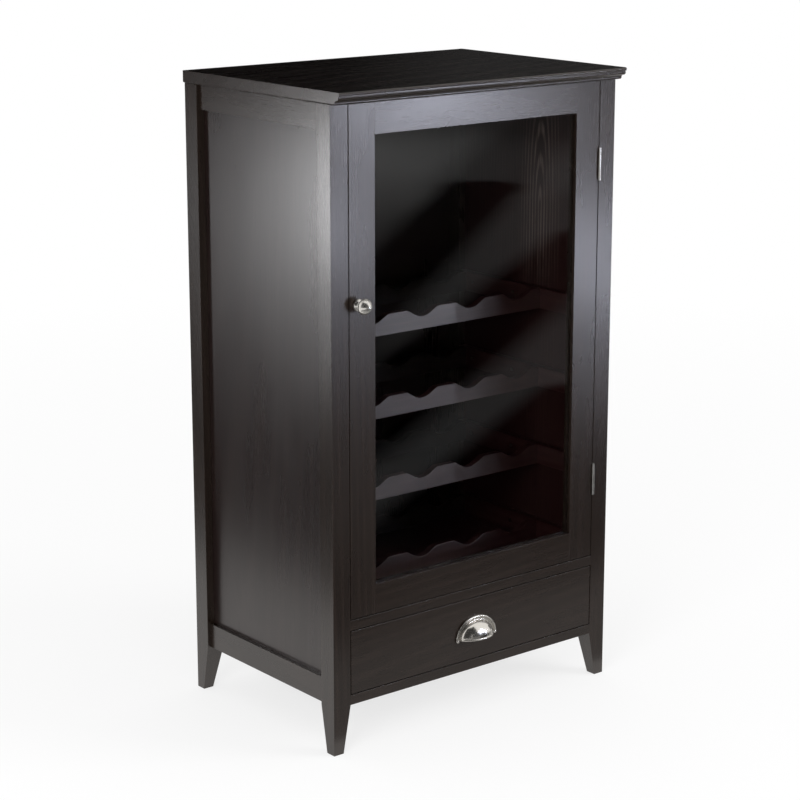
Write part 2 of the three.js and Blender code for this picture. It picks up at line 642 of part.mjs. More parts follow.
function drawerBox() {
  const inside = drawerOutside - DRAWER_BOARD_THICKNESS;
  const bottomZ = [drawerBoxBottom + DRAWER_BOTTOM_LIFT, drawerBoxBottom + DRAWER_BOTTOM_LIFT + DRAWER_BOTTOM_THICKNESS];
  const bottomGrooveZ = [bottomZ[0] - GROOVE_SLACK, bottomZ[1] + GROOVE_SLACK];
  const runnerHalfGroove = RUNNER_HEIGHT / 2 + RUNNER_CLEARANCE;
  const tongue = DRAWER_BOTTOM_GROOVE - GROOVE_SLACK;
  const overLength = [drawerBoxFront - CUT_OVERRUN, drawerBoxBack + CUT_OVERRUN];
  const sides = LEFT_AND_RIGHT.map(({ side, word }) => {
    const bottomGroove = sideSpan(
      side,
      [inside - CUT_OVERRUN, inside + DRAWER_BOTTOM_GROOVE],
      overLength,
      bottomGrooveZ,
    );
    const runnerGroove = sideSpan(
      side,
      [drawerOutside - RUNNER_GROOVE_DEPTH, drawerOutside + CUT_OVERRUN],
      overLength,
      [runnerMiddle - runnerHalfGroove, runnerMiddle + runnerHalfGroove],
    );
    return board(`drawer_side_${word}`, innerWood(), sideSpan(
      side, [inside, drawerOutside], [drawerBoxFront, drawerBoxBack], [drawerBoxBottom, drawerBoxTop],
    ), [bottomGroove, runnerGroove]);
  });
  const frontGroove = span(
    [-inside - tongue, inside + tongue],
    [DRAWER_FRONT_THICKNESS - DRAWER_BOTTOM_GROOVE, DRAWER_FRONT_THICKNESS + CUT_OVERRUN],
    bottomGrooveZ,
  );
  return [
    board('drawer_front', espressoWood(), span(
      [-doorHalfWidth, doorHalfWidth],
      [0, DRAWER_FRONT_THICKNESS],
      [drawerFrontBottom, drawerFrontTop],
    ), [frontGroove]),
    ...sides,
    board('drawer_back', innerWood(), span(
      [-inside + GLUE_LINE, inside - GLUE_LINE],
      [drawerBoxBack - DRAWER_BOARD_THICKNESS, drawerBoxBack],
      [bottomZ[1] + GROOVE_SLACK, drawerBoxTop],
    )),
    board('drawer_bottom', panelBoard(), span(
      [-inside - tongue, inside + tongue],
      [DRAWER_FRONT_THICKNESS - tongue, drawerBoxBack],
      bottomZ,
    )),
  ];
}

// Runners screwed to the inner faces of the front and back legs, in the grooves of the sides
function drawerRunners() {
  const inner = drawerOutside - RUNNER_GROOVE_DEPTH + RUNNER_CLEARANCE;
  return LEFT_AND_RIGHT.map(({ side, word }) =>
    board(`drawer_runner_${word}`, innerWood(), sideSpan(
      side,
      [inner, halfOpening - GLUE_LINE],
      [DRAWER_FRONT_THICKNESS + STRETCHER_SETBACK, backPanelFront - GLUE_LINE],
      [runnerMiddle - RUNNER_HEIGHT / 2, runnerMiddle + RUNNER_HEIGHT / 2],
    )),
  );
}

// An ellipsoid about the origin, with its poles at the front and the back
function ellipsoid(reachX, reachY, reachZ) {
  const ball = new THREE.SphereGeometry(reachX, ROUND_SEGMENTS, DOME_RINGS);
  return toSolid(ball.scale(1, reachY / reachX, reachZ / reachX));
}

// A round bead along an ellipse in the plane of X and Z
function ellipseBead(reachX, reachZ, radius) {
  const ring = new THREE.TorusGeometry(reachX - radius, radius, BEAD_SEGMENTS, ROUND_SEGMENTS);
  ring.scale(1, (reachZ - radius) / (reachX - radius), 1);
  return ring.rotateX(Math.PI / 2);
}

// Cup pull about the middle of its base line, on the drawer front
function cupPull() {
  const domeHalfWidth = PULL_HALF_WIDTH - PULL_FLANGE_WIDTH;
  const domeHeight = PULL_HEIGHT - PULL_FLANGE_WIDTH;
  const arch = new THREE.Shape();
  arch.absellipse(0, 0, PULL_HALF_WIDTH - PULL_RIM_RADIUS, PULL_HEIGHT - PULL_RIM_RADIUS, 0, Math.PI, false, 0);
  arch.closePath();
  const rim = ellipseBead(PULL_HALF_WIDTH, PULL_HEIGHT, PULL_RIM_RADIUS);
  const ring = ellipseBead(domeHalfWidth + PULL_RING_RADIUS, domeHeight + PULL_RING_RADIUS, PULL_RING_RADIUS);
  const lip = ellipseBead(domeHalfWidth, PULL_PROJECTION, PULL_LIP_RADIUS);
  let solid = toSolid(extrudeOn(arch, PULL_FLANGE_THICKNESS, X_AXIS, Z_AXIS))
    .add(toSolid(rim.translate(0, -PULL_FLANGE_THICKNESS, 0)))
    .add(toSolid(ring.translate(0, -PULL_FLANGE_THICKNESS, 0)))
    .add(toSolid(lip.rotateX(Math.PI / 2).translate(0, 0, PULL_LIP_RADIUS)))
    .add(ellipsoid(domeHalfWidth, PULL_PROJECTION - PULL_LIP_RADIUS / 2, domeHeight));
  const aboveBaseInFront = span(
    [-CABINET_WIDTH, CABINET_WIDTH],
    [-CABINET_DEPTH, 0],
    [0, CABINET_HEIGHT],
  );
  solid = solid.intersect(toSolid(boxGeometry(aboveBaseInFront, new THREE.Vector3())));
  const inFront = span(
    [-CABINET_WIDTH, CABINET_WIDTH],
    [-CABINET_DEPTH, 0],
    [-CABINET_HEIGHT, CABINET_HEIGHT],
  );
  for (const { side } of LEFT_AND_RIGHT) {
    const ball = new THREE.SphereGeometry(PULL_BALL_RADIUS, ROUND_SEGMENTS, DOME_RINGS);
    ball.translate(side * (PULL_HALF_WIDTH - PULL_BALL_RADIUS), -PULL_FLANGE_THICKNESS, 0);
    solid = solid.add(toSolid(ball).intersect(toSolid(boxGeometry(inFront, new THREE.Vector3()))));
  }
  solid = solid.subtract(ellipsoid(
    domeHalfWidth - PULL_WALL,
    PULL_PROJECTION - PULL_LIP_RADIUS / 2 - PULL_WALL,
    domeHeight - PULL_WALL,
  ));
  const height = (drawerFrontBottom + drawerFrontTop) / 2 - PULL_DROP;
  return namedMesh('cup_pull', toGeometry(solid), nickel(), new THREE.Vector3(0, -GLUE_LINE, height));
}

const topHinge = hinge('top', doorTop - HINGE_END_DISTANCE);
const bottomHinge = hinge('bottom', doorBottom + HINGE_END_DISTANCE);

const carcass = new THREE.Group();
carcass.add(
  topPanel(),
  leg('leg_front_left', 1, 1),
  leg('leg_front_right', -1, 1),
  leg('leg_back_left', 1, -1),
  leg('leg_back_right', -1, -1),
  ...LEFT_AND_RIGHT.flatMap(sideFrame),
  ...backFrame(),
  ...frontRails(),
  compartmentFloor(),
  ...topHinge.onLeg,
  ...bottomHinge.onLeg,
  doorCatch(),
  ...drawerRunners(),
);
for (let tier = 1; tier <= TIER_COUNT; tier += 1) {
  carcass.add(...rackTier(tier));
}

const door = new THREE.Group();
door.add(...doorFrame(), ...doorGlazing(), doorKnob(), topHinge.onDoor, bottomHinge.onDoor, strikePlate());

const drawer = new THREE.Group();
drawer.add(...drawerBox(), cupPull());

// The origin lies under the middle of the whole: its front is the knob or the top board's lip
const frontReach = Math.max(KNOB_PROJECTION + GLUE_LINE, TOP_FRONT_OVERHANG, PULL_PROJECTION + GLUE_LINE);
const cabinet = new THREE.Group();
cabinet.add(carcass, door, drawer);
cabinet.position.y = (frontReach - CABINET_DEPTH - TOP_BACK_OVERHANG) / 2;

export default cabinet;
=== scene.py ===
# Looks of the wine cabinet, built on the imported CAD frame. Lengths are metres in the row frame:
# +X to the right, +Y to the back, +Z up.

import json
import math

import bmesh
import bpy
from mathutils import Matrix, Vector


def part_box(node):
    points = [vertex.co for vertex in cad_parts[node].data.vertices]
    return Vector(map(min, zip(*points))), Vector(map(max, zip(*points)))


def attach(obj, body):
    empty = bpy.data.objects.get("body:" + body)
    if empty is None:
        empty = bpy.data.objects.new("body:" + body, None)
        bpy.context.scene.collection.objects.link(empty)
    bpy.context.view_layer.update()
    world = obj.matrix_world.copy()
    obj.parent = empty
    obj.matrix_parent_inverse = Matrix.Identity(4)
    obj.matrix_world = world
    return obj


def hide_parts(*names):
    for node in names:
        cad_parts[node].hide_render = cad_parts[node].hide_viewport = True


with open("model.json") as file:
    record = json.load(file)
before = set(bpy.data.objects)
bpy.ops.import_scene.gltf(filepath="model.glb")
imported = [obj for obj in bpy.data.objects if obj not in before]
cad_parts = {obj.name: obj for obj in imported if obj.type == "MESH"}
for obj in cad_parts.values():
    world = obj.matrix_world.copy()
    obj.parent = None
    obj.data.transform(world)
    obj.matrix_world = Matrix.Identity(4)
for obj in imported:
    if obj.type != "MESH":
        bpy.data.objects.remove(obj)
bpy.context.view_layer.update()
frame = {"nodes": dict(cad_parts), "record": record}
NODES = frame["nodes"]
BODIES = frame["record"]["behaviour"]["bodies"]
SLOTS = {entry["node"]: entry["material_slot"] for entry in frame["record"]["subparts"]}
scene = bpy.context.scene
scene.view_settings.view_transform = "Standard"

# The front faces of the legs: all depths below are taken from them
FRONT_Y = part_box("leg_front_left")[0].y


# ---------------------------------------------------------------- camera

PICTURE_SIDE = 800
FOCAL_PIXELS = 2226.96
CENTRE_ROW = 370
CAMERA_PLACE = (-2.05486, FRONT_Y - 2.37538, 1.28826)
CAMERA_YAW = math.radians(38.81)
CAMERA_PITCH = math.radians(-13.58)
SENSOR_WIDTH = 36
CLIP_NEAR, CLIP_FAR = 0.05, 100


def make_camera():
    data = bpy.data.cameras.new("camera")
    data.sensor_width = SENSOR_WIDTH
    data.lens = data.sensor_width * FOCAL_PIXELS / PICTURE_SIDE
    data.shift_y = (CENTRE_ROW - PICTURE_SIDE / 2) / PICTURE_SIDE
    data.clip_start = CLIP_NEAR
    data.clip_end = CLIP_FAR
    camera = bpy.data.objects.new("camera", data)
    scene.collection.objects.link(camera)
    ahead = Vector((
        math.sin(CAMERA_YAW) * math.cos(CAMERA_PITCH),
        math.cos(CAMERA_YAW) * math.cos(CAMERA_PITCH),
        math.sin(CAMERA_PITCH),
    ))
    right = Vector((math.cos(CAMERA_YAW), -math.sin(CAMERA_YAW), 0))
    up = right.cross(ahead)
    turn = Matrix((right, up, -ahead)).transposed()
    camera.matrix_world = Matrix.Translation(CAMERA_PLACE) @ turn.to_4x4()
    scene.camera = camera


make_camera()


# ---------------------------------------------------------------- materials


def new_material(name):
    material = bpy.data.materials.new(name)
    material.use_nodes = True
    nodes = material.node_tree.nodes
    nodes.clear()
    output = nodes.new("ShaderNodeOutputMaterial")
    shader = nodes.new("ShaderNodeBsdfPrincipled")
    material.node_tree.links.new(shader.outputs[0], output.inputs[0])
    return material, nodes, material.node_tree.links, shader, output


def noise(nodes, links, vector, scale, detail, distortion=0.0):
    node = nodes.new("ShaderNodeTexNoise")
    node.inputs["Scale"].default_value = scale
    node.inputs["Detail"].default_value = detail
    node.inputs["Distortion"].default_value = distortion
    links.new(vector, node.inputs["Vector"])
    return node.outputs["Fac"]


def stretched(nodes, links, vector, scales, offset=(0, 0, 0), turn=(0, 0, 0)):
    node = nodes.new("ShaderNodeMapping")
    node.inputs["Scale"].default_value = scales
    node.inputs["Rotation"].default_value = turn
    node.inputs["Location"].default_value = offset
    links.new(vector, node.inputs["Vector"])
    return node.outputs[0]


def remap(nodes, links, value, low, high, to_low=0.0, to_high=1.0):
    node = nodes.new("ShaderNodeMapRange")
    node.inputs["From Min"].default_value = low
    node.inputs["From Max"].default_value = high
    node.inputs["To Min"].default_value = to_low
    node.inputs["To Max"].default_value = to_high
    links.new(value, node.inputs["Value"])
    return node.outputs[0]


def calculate(nodes, links, operation, first, second):
    node = nodes.new("ShaderNodeMath")
    node.operation = operation
    for socket, value in zip(node.inputs, (first, second)):
        if isinstance(value, (int, float)):
            socket.default_value = value
        else:
            links.new(value, socket)
    return node.outputs[0]


def mix_colours(nodes, links, factor, first, second):
    node = nodes.new("ShaderNodeMix")
    node.data_type = "RGBA"
    links.new(factor, node.inputs["Factor"])
    for name, value in (("A", first), ("B", second)):
        socket = next(s for s in node.inputs if s.name == name and s.type == "RGBA")
        if isinstance(value, tuple):
            socket.default_value = (*value, 1)
        else:
            links.new(value, socket)
    return next(s for s in node.outputs if s.type == "RGBA")


def bump(nodes, links, height, strength, distance):
    node = nodes.new("ShaderNodeBump")
    node.inputs["Strength"].default_value = strength
    node.inputs["Distance"].default_value = distance
    links.new(height, node.inputs["Height"])
    return node.outputs[0]


# Lighter edges: how far the lightening reaches from an edge, and between which cosines of the bend it sets in
EDGE_REACH = 0.0009
EDGE_BEND = (0.97, 0.8)
EDGE_SAMPLES = 4


def edge_mask(nodes, links):
    """Rises from 0 on flat faces to 1 at sharp edges."""
    rounded = nodes.new("ShaderNodeBevel")
    rounded.samples = EDGE_SAMPLES
    rounded.inputs["Radius"].default_value = EDGE_REACH
    geometry = nodes.new("ShaderNodeNewGeometry")
    dot = nodes.new("ShaderNodeVectorMath")
    dot.operation = "DOT_PRODUCT"
    links.new(rounded.outputs[0], dot.inputs[0])
    links.new(geometry.outputs["True Normal"], dot.inputs[1])
    return remap(nodes, links, dot.outputs["Value"], *EDGE_BEND)


# Growth rings: they lean to the board, so that they draw long arches on it
RING_LEAN = 0.6
RING_HEART = (-1.6, 0.2, 0.0)
RING_ACROSS = 9.0
RING_SCALE = 3.1
RING_DISTORTION = 4.5
RING_DETAIL = 3.0
RING_DETAIL_SCALE = 0.8
RING_CONTRAST = (0.45, 0.95)
# One tall arch: rings to the metre across it, how fast it narrows upwards, and how its lines wander
ARCH_RINGS = 48.0
ARCH_TAPER = 5.92
ARCH_WANDER = 3.0
ARCH_DISTORTION = 1.8
# How far to its sides, in rings, and below its foot, in metres, it fades, and what is left of its lines there; the fade
# below the foot is painted shade, where the light on the board falls off downwards
ARCH_SIDES = (0.9, 2.4)
ARCH_SIDE_LEVEL = 0.10
ARCH_SHADE_REACH = (-0.14, -0.03)
ARCH_SHADE_LEVEL = 0.12


def ring_lines(nodes, links, vector, axis, scale, distortion):
    """Pale lines of growth rings round an axis."""
    node = nodes.new("ShaderNodeTexWave")
    node.wave_type = "RINGS"
    node.rings_direction = "XYZ"[axis]
    node.inputs["Scale"].default_value = scale
    node.inputs["Distortion"].default_value = distortion
    node.inputs["Detail"].default_value = RING_DETAIL
    node.inputs["Detail Scale"].default_value = RING_DETAIL_SCALE
    links.new(vector, node.inputs["Vector"])
    return remap(nodes, links, node.outputs["Fac"], *RING_CONTRAST)


def arch_lines(nodes, links, place, across, along, middle, foot):
    """The pale lines of one tall arch. It stands on foot and is centred on middle; below it its lines run straight, and
    they fade to its sides, and further down as painted shade, where the light on the board falls off."""
    split = nodes.new("ShaderNodeSeparateXYZ")
    links.new(place, split.inputs[0])
    side = calculate(nodes, links, "SUBTRACT", split.outputs[across], middle)
    side = calculate(nodes, links, "MULTIPLY", side, ARCH_RINGS)
    height = calculate(nodes, links, "SUBTRACT", split.outputs[along], foot)
    rise = calculate(nodes, links, "MAXIMUM", calculate(nodes, links, "MULTIPLY", height, ARCH_TAPER), 0.0)
    join = nodes.new("ShaderNodeCombineXYZ")
    for socket, value in zip(join.inputs, (side, rise, calculate(nodes, links, "MULTIPLY", height, ARCH_WANDER))):
        links.new(value, socket)
    lines = ring_lines(nodes, links, join.outputs[0], 2, 1.0, ARCH_DISTORTION)
    out = calculate(nodes, links, "ABSOLUTE", side, 0.0)
    aside = remap(nodes, links, out, *ARCH_SIDES, 1.0, ARCH_SIDE_LEVEL)
    # Painted shade: the lines fade below the foot, where the light on the board falls off downwards
    below = remap(nodes, links, height, *ARCH_SHADE_REACH, ARCH_SHADE_LEVEL, 1.0)
    lines = calculate(nodes, links, "MULTIPLY", lines, aside)
    return calculate(nodes, links, "MULTIPLY", lines, below)


# Between these values lies most of a noise
NOISE_RANGE = (0.3, 0.7)
# Scales of the wood's patterns, across the grain and along it, and how detailed and how distorted they are
DRIFT = (5.0, 0.7)
DRIFT_DISTORTION = 0.4
FIBRE = (520.0, 7.0)
PORE = (950.0, 26.0)
PORE_DETAIL = 1.0
LACQUER = (14.0, 4.0)
PATTERN_DETAIL = 3.0
# How much of the tone comes from drift and fibre, and where it turns from the dark to the light colour
DRIFT_PART = 0.6
FIBRE_PART = 0.5
TONE_RANGE = (0.3, 0.8)
# The pale lines break up where the fibre is dark, down to a least strength
LINE_RANGE = (0.36, 0.60)
LINE_LEAST = 0.15
# Pores: where they open, how dark the stain is in them and how far it covers, and the height of the relief
PORE_RANGE = (0.58, 0.70)
PORE_DARK = 0.45
PORE_COVER = 0.7
RELIEF_FIBRE = 0.4
RELIEF_HEIGHT = 0.00012
# Edges are lighter than the light colour by a factor and a lift, and cover only part
EDGE_FACTOR = 2.6
EDGE_LIFT = 0.01
EDGE_COVER = 0.2
# The lacquer: how far its roughness wanders, and its slightly warm tint
LACQUER_SPREAD = 0.015
LACQUER_TINT = (1.0, 0.955, 0.915, 1)


def wood(name, axis, stain, early, vein, figure, roughness, pores, gloss=0.75, run=0.55, arch=None):
    """Stained and lacquered wood. axis is the grain's direction, 0 to 2 for X, Y or Z; stain and early are the dark
    and the light colour of the grain, vein the colour of its pale lines; figure is how strongly those lines show and
    pores how deep the pores are. run sets how short the arches are; arch asks for one tall arch instead, given as
    the axis across it, its middle and its foot."""
    material, nodes, links, shader, _ = new_material(name)
    place = nodes.new("ShaderNodeTexCoord").outputs["Object"]

    def along(across_grain, along_grain):
        return tuple(along_grain if i == axis else across_grain for i in range(3))

    def pattern(scales, detail=PATTERN_DETAIL, distortion=0.0):
        return noise(nodes, links, stretched(nodes, links, place, along(*scales)), 1.0, detail, distortion)

    def multiply(first, second):
        return calculate(nodes, links, "MULTIPLY", first, second)

    drift = pattern(DRIFT, distortion=DRIFT_DISTORTION)
    if arch:
        across, middle, foot = arch
        line = arch_lines(nodes, links, place, across, axis, middle, foot)
    else:
        lean = tuple(0 if i == axis else RING_LEAN for i in range(3))
        leaning = stretched(nodes, links, place, along(RING_ACROSS, run), RING_HEART, lean)
        line = ring_lines(nodes, links, leaning, axis, RING_SCALE, RING_DISTORTION)
    fibre = pattern(FIBRE)
    pore = remap(nodes, links, pattern(PORE, PORE_DETAIL), *PORE_RANGE)

    tone = calculate(nodes, links, "ADD", multiply(drift, DRIFT_PART), multiply(fibre, FIBRE_PART))
    colour = mix_colours(nodes, links, remap(nodes, links, tone, *TONE_RANGE), stain, early)
    line = multiply(line, remap(nodes, links, fibre, *LINE_RANGE, LINE_LEAST, figure))
    colour = mix_colours(nodes, links, line, colour, vein)
    dark = tuple(c * PORE_DARK for c in stain)
    colour = mix_colours(nodes, links, multiply(pore, PORE_COVER), colour, dark)
    edge_colour = tuple(min(1.0, c * EDGE_FACTOR + EDGE_LIFT) for c in early)
    colour = mix_colours(nodes, links, multiply(edge_mask(nodes, links), EDGE_COVER), colour, edge_colour)
    links.new(colour, shader.inputs["Base Color"])

    least, most = roughness - LACQUER_SPREAD, roughness + LACQUER_SPREAD
    sheen = remap(nodes, links, pattern(LACQUER), *NOISE_RANGE, least, most)
    sheen = calculate(nodes, links, "ADD", sheen, multiply(pore, pores))
    links.new(sheen, shader.inputs["Roughness"])

    relief = calculate(nodes, links, "SUBTRACT", multiply(fibre, RELIEF_FIBRE), pore)
    links.new(bump(nodes, links, relief, pores, RELIEF_HEIGHT), shader.inputs["Normal"])
    shader.inputs["Specular IOR Level"].default_value = gloss
    shader.inputs["Specular Tint"].default_value = LACQUER_TINT
    return material


def wood_set(name, **look):
    return [wood(f"{name}_{'xyz'[axis]}", axis, **look) for axis in range(3)]


WOODS = {
    "espresso_wood": wood_set(
        "espresso_wood", stain=(0.0084, 0.0050, 0.0036), early=(0.0146, 0.0092, 0.0066), vein=(0.022, 0.0138, 0.0108),
        figure=0.35, roughness=0.27, pores=0.012,
    ),
    "inner_wood": wood_set(
        "inner_wood", stain=(0.0125, 0.0030, 0.0032), early=(0.0280, 0.0085, 0.0086), vein=(0.042, 0.0180, 0.0165),
        figure=0.5, roughness=0.40, pores=0.08, gloss=1.6,
    ),
    "panel_board": wood_set(
        "panel_board", stain=(0.0062, 0.0028, 0.0026), early=(0.0122, 0.0064, 0.0058), vein=(0.017, 0.0105, 0.0090),
        figure=0.4, roughness=0.28, pores=0.05,
    ),
}
# The back rails of the racks have a duller finish and a darker colour; the darker colour is painted shade, for the
# shade at the back of the racks
SHADED_DULL_WOOD = wood_set(
    "shaded_rear_wood", stain=(0.0070, 0.0036, 0.0034), early=(0.0140, 0.0080, 0.0072), vein=(0.020, 0.0120, 0.0105),
    figure=0.4, roughness=0.55, pores=0.14, gloss=0.3,
)
# Boards with one side that looks different: the right panel's inner face has very pale lines, partly its grain and
# partly painted highlight; the top's upper face is a darker copy of the wood, painted shade, with pale lines that are
# partly grain and partly painted reflection; and the edge below the glass takes the duller, darker wood
SIDE_LOOKS = {
    # Painted highlight: very pale lines, partly the board's grain, and they fade downwards as painted shade
    "side_panel_right": wood_set(
        "figured_highlit_board", stain=(0.0098, 0.0024, 0.0026), early=(0.0205, 0.0078, 0.0074), vein=(0.150, 0.1130, 0.0980),
        figure=0.85, roughness=0.32, pores=0.14, arch=(1, -0.020, 0.7205),
    ),
    # Painted shade: a darker copy of the wood for the top's upper face; its pale lines are partly grain and partly
    # painted reflection
    "top_panel": wood_set(
        "top_board", stain=(0.0030, 0.0019, 0.0018), early=(0.0064, 0.0043, 0.0039), vein=(0.022, 0.0160, 0.0145),
        figure=0.6, roughness=0.27, pores=0.10, run=1.4,
    ),
    "door_rail_bottom": SHADED_DULL_WOOD,
}
SIDE_SHOWN = {
    "side_panel_right": Vector((-1, 0, 0)),
    "top_panel": Vector((0, 0, 1)),
    "door_rail_bottom": Vector((0, 0, 1)),
}


# Metal: its clouds and how dark they are, its brushing, the roughness in it as shares of the given one, and its relief
CLOUD_SCALE, CLOUD_DETAIL, CLOUD_DARK = 90.0, 4.0, 0.92
BRUSH_ALONG, BRUSH_DETAIL = 60.0, 2.0
BRUSH_ROUGHNESS = (0.8, 1.3)
BRUSH_RELIEF, BRUSH_HEIGHT = 0.04, 0.0001


def metal(name, colour, roughness, brushed):
    """Metal with faint clouds and fine brushing; brushed is how many brush lines there are to the metre."""
    material, nodes, links, shader, _ = new_material(name)
    place = nodes.new("ShaderNodeTexCoord").outputs["Object"]
    cloud = noise(nodes, links, place, CLOUD_SCALE, CLOUD_DETAIL)
    tint = mix_colours(nodes, links, cloud, tuple(c * CLOUD_DARK for c in colour), colour)
    links.new(tint, shader.inputs["Base Color"])
    shader.inputs["Metallic"].default_value = 1.0
    fine = noise(nodes, links, stretched(nodes, links, place, (brushed, brushed, BRUSH_ALONG)), 1.0, BRUSH_DETAIL)
    least, most = (roughness * share for share in BRUSH_ROUGHNESS)
    links.new(remap(nodes, links, fine, *NOISE_RANGE, least, most), shader.inputs["Roughness"])
    links.new(bump(nodes, links, fine, BRUSH_RELIEF, BRUSH_HEIGHT), shader.inputs["Normal"])
    return material


NICKEL = metal("satin_nickel", (0.74, 0.705, 0.65), 0.16, 900.0)
# The knob's nickel is rougher than the pull's, and lighter: the lighter colour is painted highlight, so that the knob's
# face shows bright
LIT_KNOB_NICKEL = metal("lit_knob_nickel", (0.80, 0.77, 0.72), 0.26, 900.0)
HINGE = metal("hinge_steel", (0.62, 0.60, 0.57), 0.24, 1500.0)
SCREW = metal("screw_steel", (0.50, 0.48, 0.45), 0.35, 2000.0)

GLASS_COLOUR = (0.945, 0.952, 0.948, 1)
GLASS_IOR = 1.45
# Faint smears on the pane: the roughness in them, their scales, detail and distortion, and where they set in
GLASS_SMEAR = 0.004
SMEAR_SCALES = (7.0, 7.0, 4.0)
SMEAR_DETAIL, SMEAR_DISTORTION = 4.0, 0.8
SMEAR_RANGE = (0.5, 0.9)


def glass():
    """Clear pane; lamps reach through it, so that what is behind it is lit."""
    material, nodes, links, shader, output = new_material("clear_glass")
    shader.inputs["Base Color"].default_value = GLASS_COLOUR
    shader.inputs["Transmission Weight"].default_value = 1.0
    shader.inputs["IOR"].default_value = GLASS_IOR
    place = nodes.new("ShaderNodeTexCoord").outputs["Object"]
    smear = noise(nodes, links, stretched(nodes, links, place, SMEAR_SCALES), 1.0, SMEAR_DETAIL, SMEAR_DISTORTION)
    links.new(remap(nodes, links, smear, *SMEAR_RANGE, 0.0, GLASS_SMEAR), shader.inputs["Roughness"])
    clear = nodes.new("ShaderNodeBsdfTransparent")
    clear.inputs["Color"].default_value = GLASS_COLOUR
    path = nodes.new("ShaderNodeLightPath")
    mix = nodes.new("ShaderNodeMixShader")
    links.new(path.outputs["Is Shadow Ray"], mix.inputs[0])
    links.new(shader.outputs[0], mix.inputs[1])
    links.new(clear.outputs[0], mix.inputs[2])
    links.new(mix.outputs[0], output.inputs[0])
    return material


GLASS = glass()


# Moulded plastic: its grain and how light it gets, the roughness in it, and its relief
GRAIN_SCALE, GRAIN_DETAIL, GRAIN_LIGHT = 1200.0, 2.0, 1.5
GRAIN_ROUGHNESS = (0.5, 0.65)
GRAIN_RELIEF, GRAIN_HEIGHT = 0.08, 0.0002


def plastic(name, colour):
    material, nodes, links, shader, _ = new_material(name)
    place = nodes.new("ShaderNodeTexCoord").outputs["Object"]
    grain = noise(nodes, links, place, GRAIN_SCALE, GRAIN_DETAIL)
    light = tuple(c * GRAIN_LIGHT for c in colour)
    links.new(mix_colours(nodes, links, grain, colour, light), shader.inputs["Base Color"])
    links.new(remap(nodes, links, grain, *NOISE_RANGE, *GRAIN_ROUGHNESS), shader.inputs["Roughness"])
    links.new(bump(nodes, links, grain, GRAIN_RELIEF, GRAIN_HEIGHT), shader.inputs["Normal"])
    return material


CATCH_PLASTIC = plastic("catch_plastic", (0.028, 0.018, 0.015))


# ---------------------------------------------------------------- boards

# How far edges are eased, in how many steps and how round, and how near a piece counts as touching another
EASE = 0.0005
EASE_STEPS, EASE_PROFILE = 2, 0.5
TOUCH = 0.0005
# Bends: faces under FLAT are one flat area, edges over CORNER are eased, and shading is smooth up to SMOOTH
FLAT = math.radians(1)
CORNER = math.radians(35)
SMOOTH = math.radians(30)
BOARD_SMOOTH = math.radians(50)
# A flat area larger than this, in square metres, keeps its own normal
FLAT_AREA = 0.0002
# Points nearer than this are the same point, and a board isn't cut nearer than this to its end
SAME_POINT = 1e-6
CUT_MARGIN = 0.002
# A point this near the foot of a board is at its foot, and a face looks to a side if the cosine between them is over
# the other limit
SAME_LEVEL = 1e-5
SAME_SIDE = 0.5
# The top board is set on the frame: its edges are eased all round, and more below, which draws a shadow line there
LOOSE_EDGES = ("top_panel",)
UNDERSIDE_EASE = 0.002


def boxes_near(node, body):
    """Boxes of the other nodes on the same body, grown a little, that reach this node."""
    low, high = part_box(node)
    grow = Vector((TOUCH, TOUCH, TOUCH))
    near = []
    for other in BODIES[body]:
        if other == node:
            continue
        a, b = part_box(other)
        a, b = a - grow, b + grow
        if all(a[i] < high[i] and b[i] > low[i] for i in range(3)):
            near.append((a, b))
    return near


def inside(point, box):
    return all(box[0][i] <= point[i] <= box[1][i] for i in range(3))


def grain_axis(node):
    low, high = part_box(node)
    size = high - low
    return max(range(3), key=lambda i: size[i])


def finish_mesh(name, mesh, materials, smooth):
    obj = bpy.data.objects.new(name, mesh)
    scene.collection.objects.link(obj)
    for material in materials:
        mesh.materials.append(material)
    mesh.shade_smooth()
    mesh.set_sharp_from_angle(angle=smooth)
    return obj


def faces_across(face, vert, limit):
    """The faces round a corner of this face that join it, one after another, at no more than the limit."""
    found, to_visit = {face}, [face]
    while to_visit:
        for edge in to_visit.pop().edges:
            if vert in edge.verts and len(edge.link_faces) == 2 and edge.calc_face_angle(math.pi) <= limit:
                for other in edge.link_faces:
                    if other not in found:
                        found.add(other)
                        to_visit.append(other)
    return found


def level_normals(mesh, smooth):
    """Flat areas keep their own normal right up to their rims, so that eased edges don't bend the light on a board.
    Small faces between them are shaded round."""
    bm = bmesh.new()
    bm.from_mesh(mesh)
    bm.faces.ensure_lookup_table()
    flat = {}
    for start in bm.faces:
        if start in flat:
            continue
        area, group, to_visit = 0.0, {start}, [start]
        while to_visit:
            face = to_visit.pop()
            area += face.calc_area()
            for edge in face.edges:
                for other in edge.link_faces:
                    if other not in group and face.normal.angle(other.normal, 0.0) < FLAT / 2:
                        group.add(other)
                        to_visit.append(other)
        for face in group:
            flat[face] = area > FLAT_AREA
    normals = []
    for face in bm.faces:
        for loop in face.loops:
            if flat[face]:
                normals.append(face.normal.copy())
                continue
            around = faces_across(face, loop.vert, smooth)
            total = sum((other.normal * other.calc_area() for other in around), Vector())
            normals.append(total.normalized())
    bm.free()
    mesh.normals_split_custom_set(normals)


def bevel_edges(bm, edges, offset):
    bmesh.ops.bevel(
        bm, geom=edges, offset=offset, segments=EASE_STEPS, profile=EASE_PROFILE, affect="EDGES", clamp_overlap=True,
    )


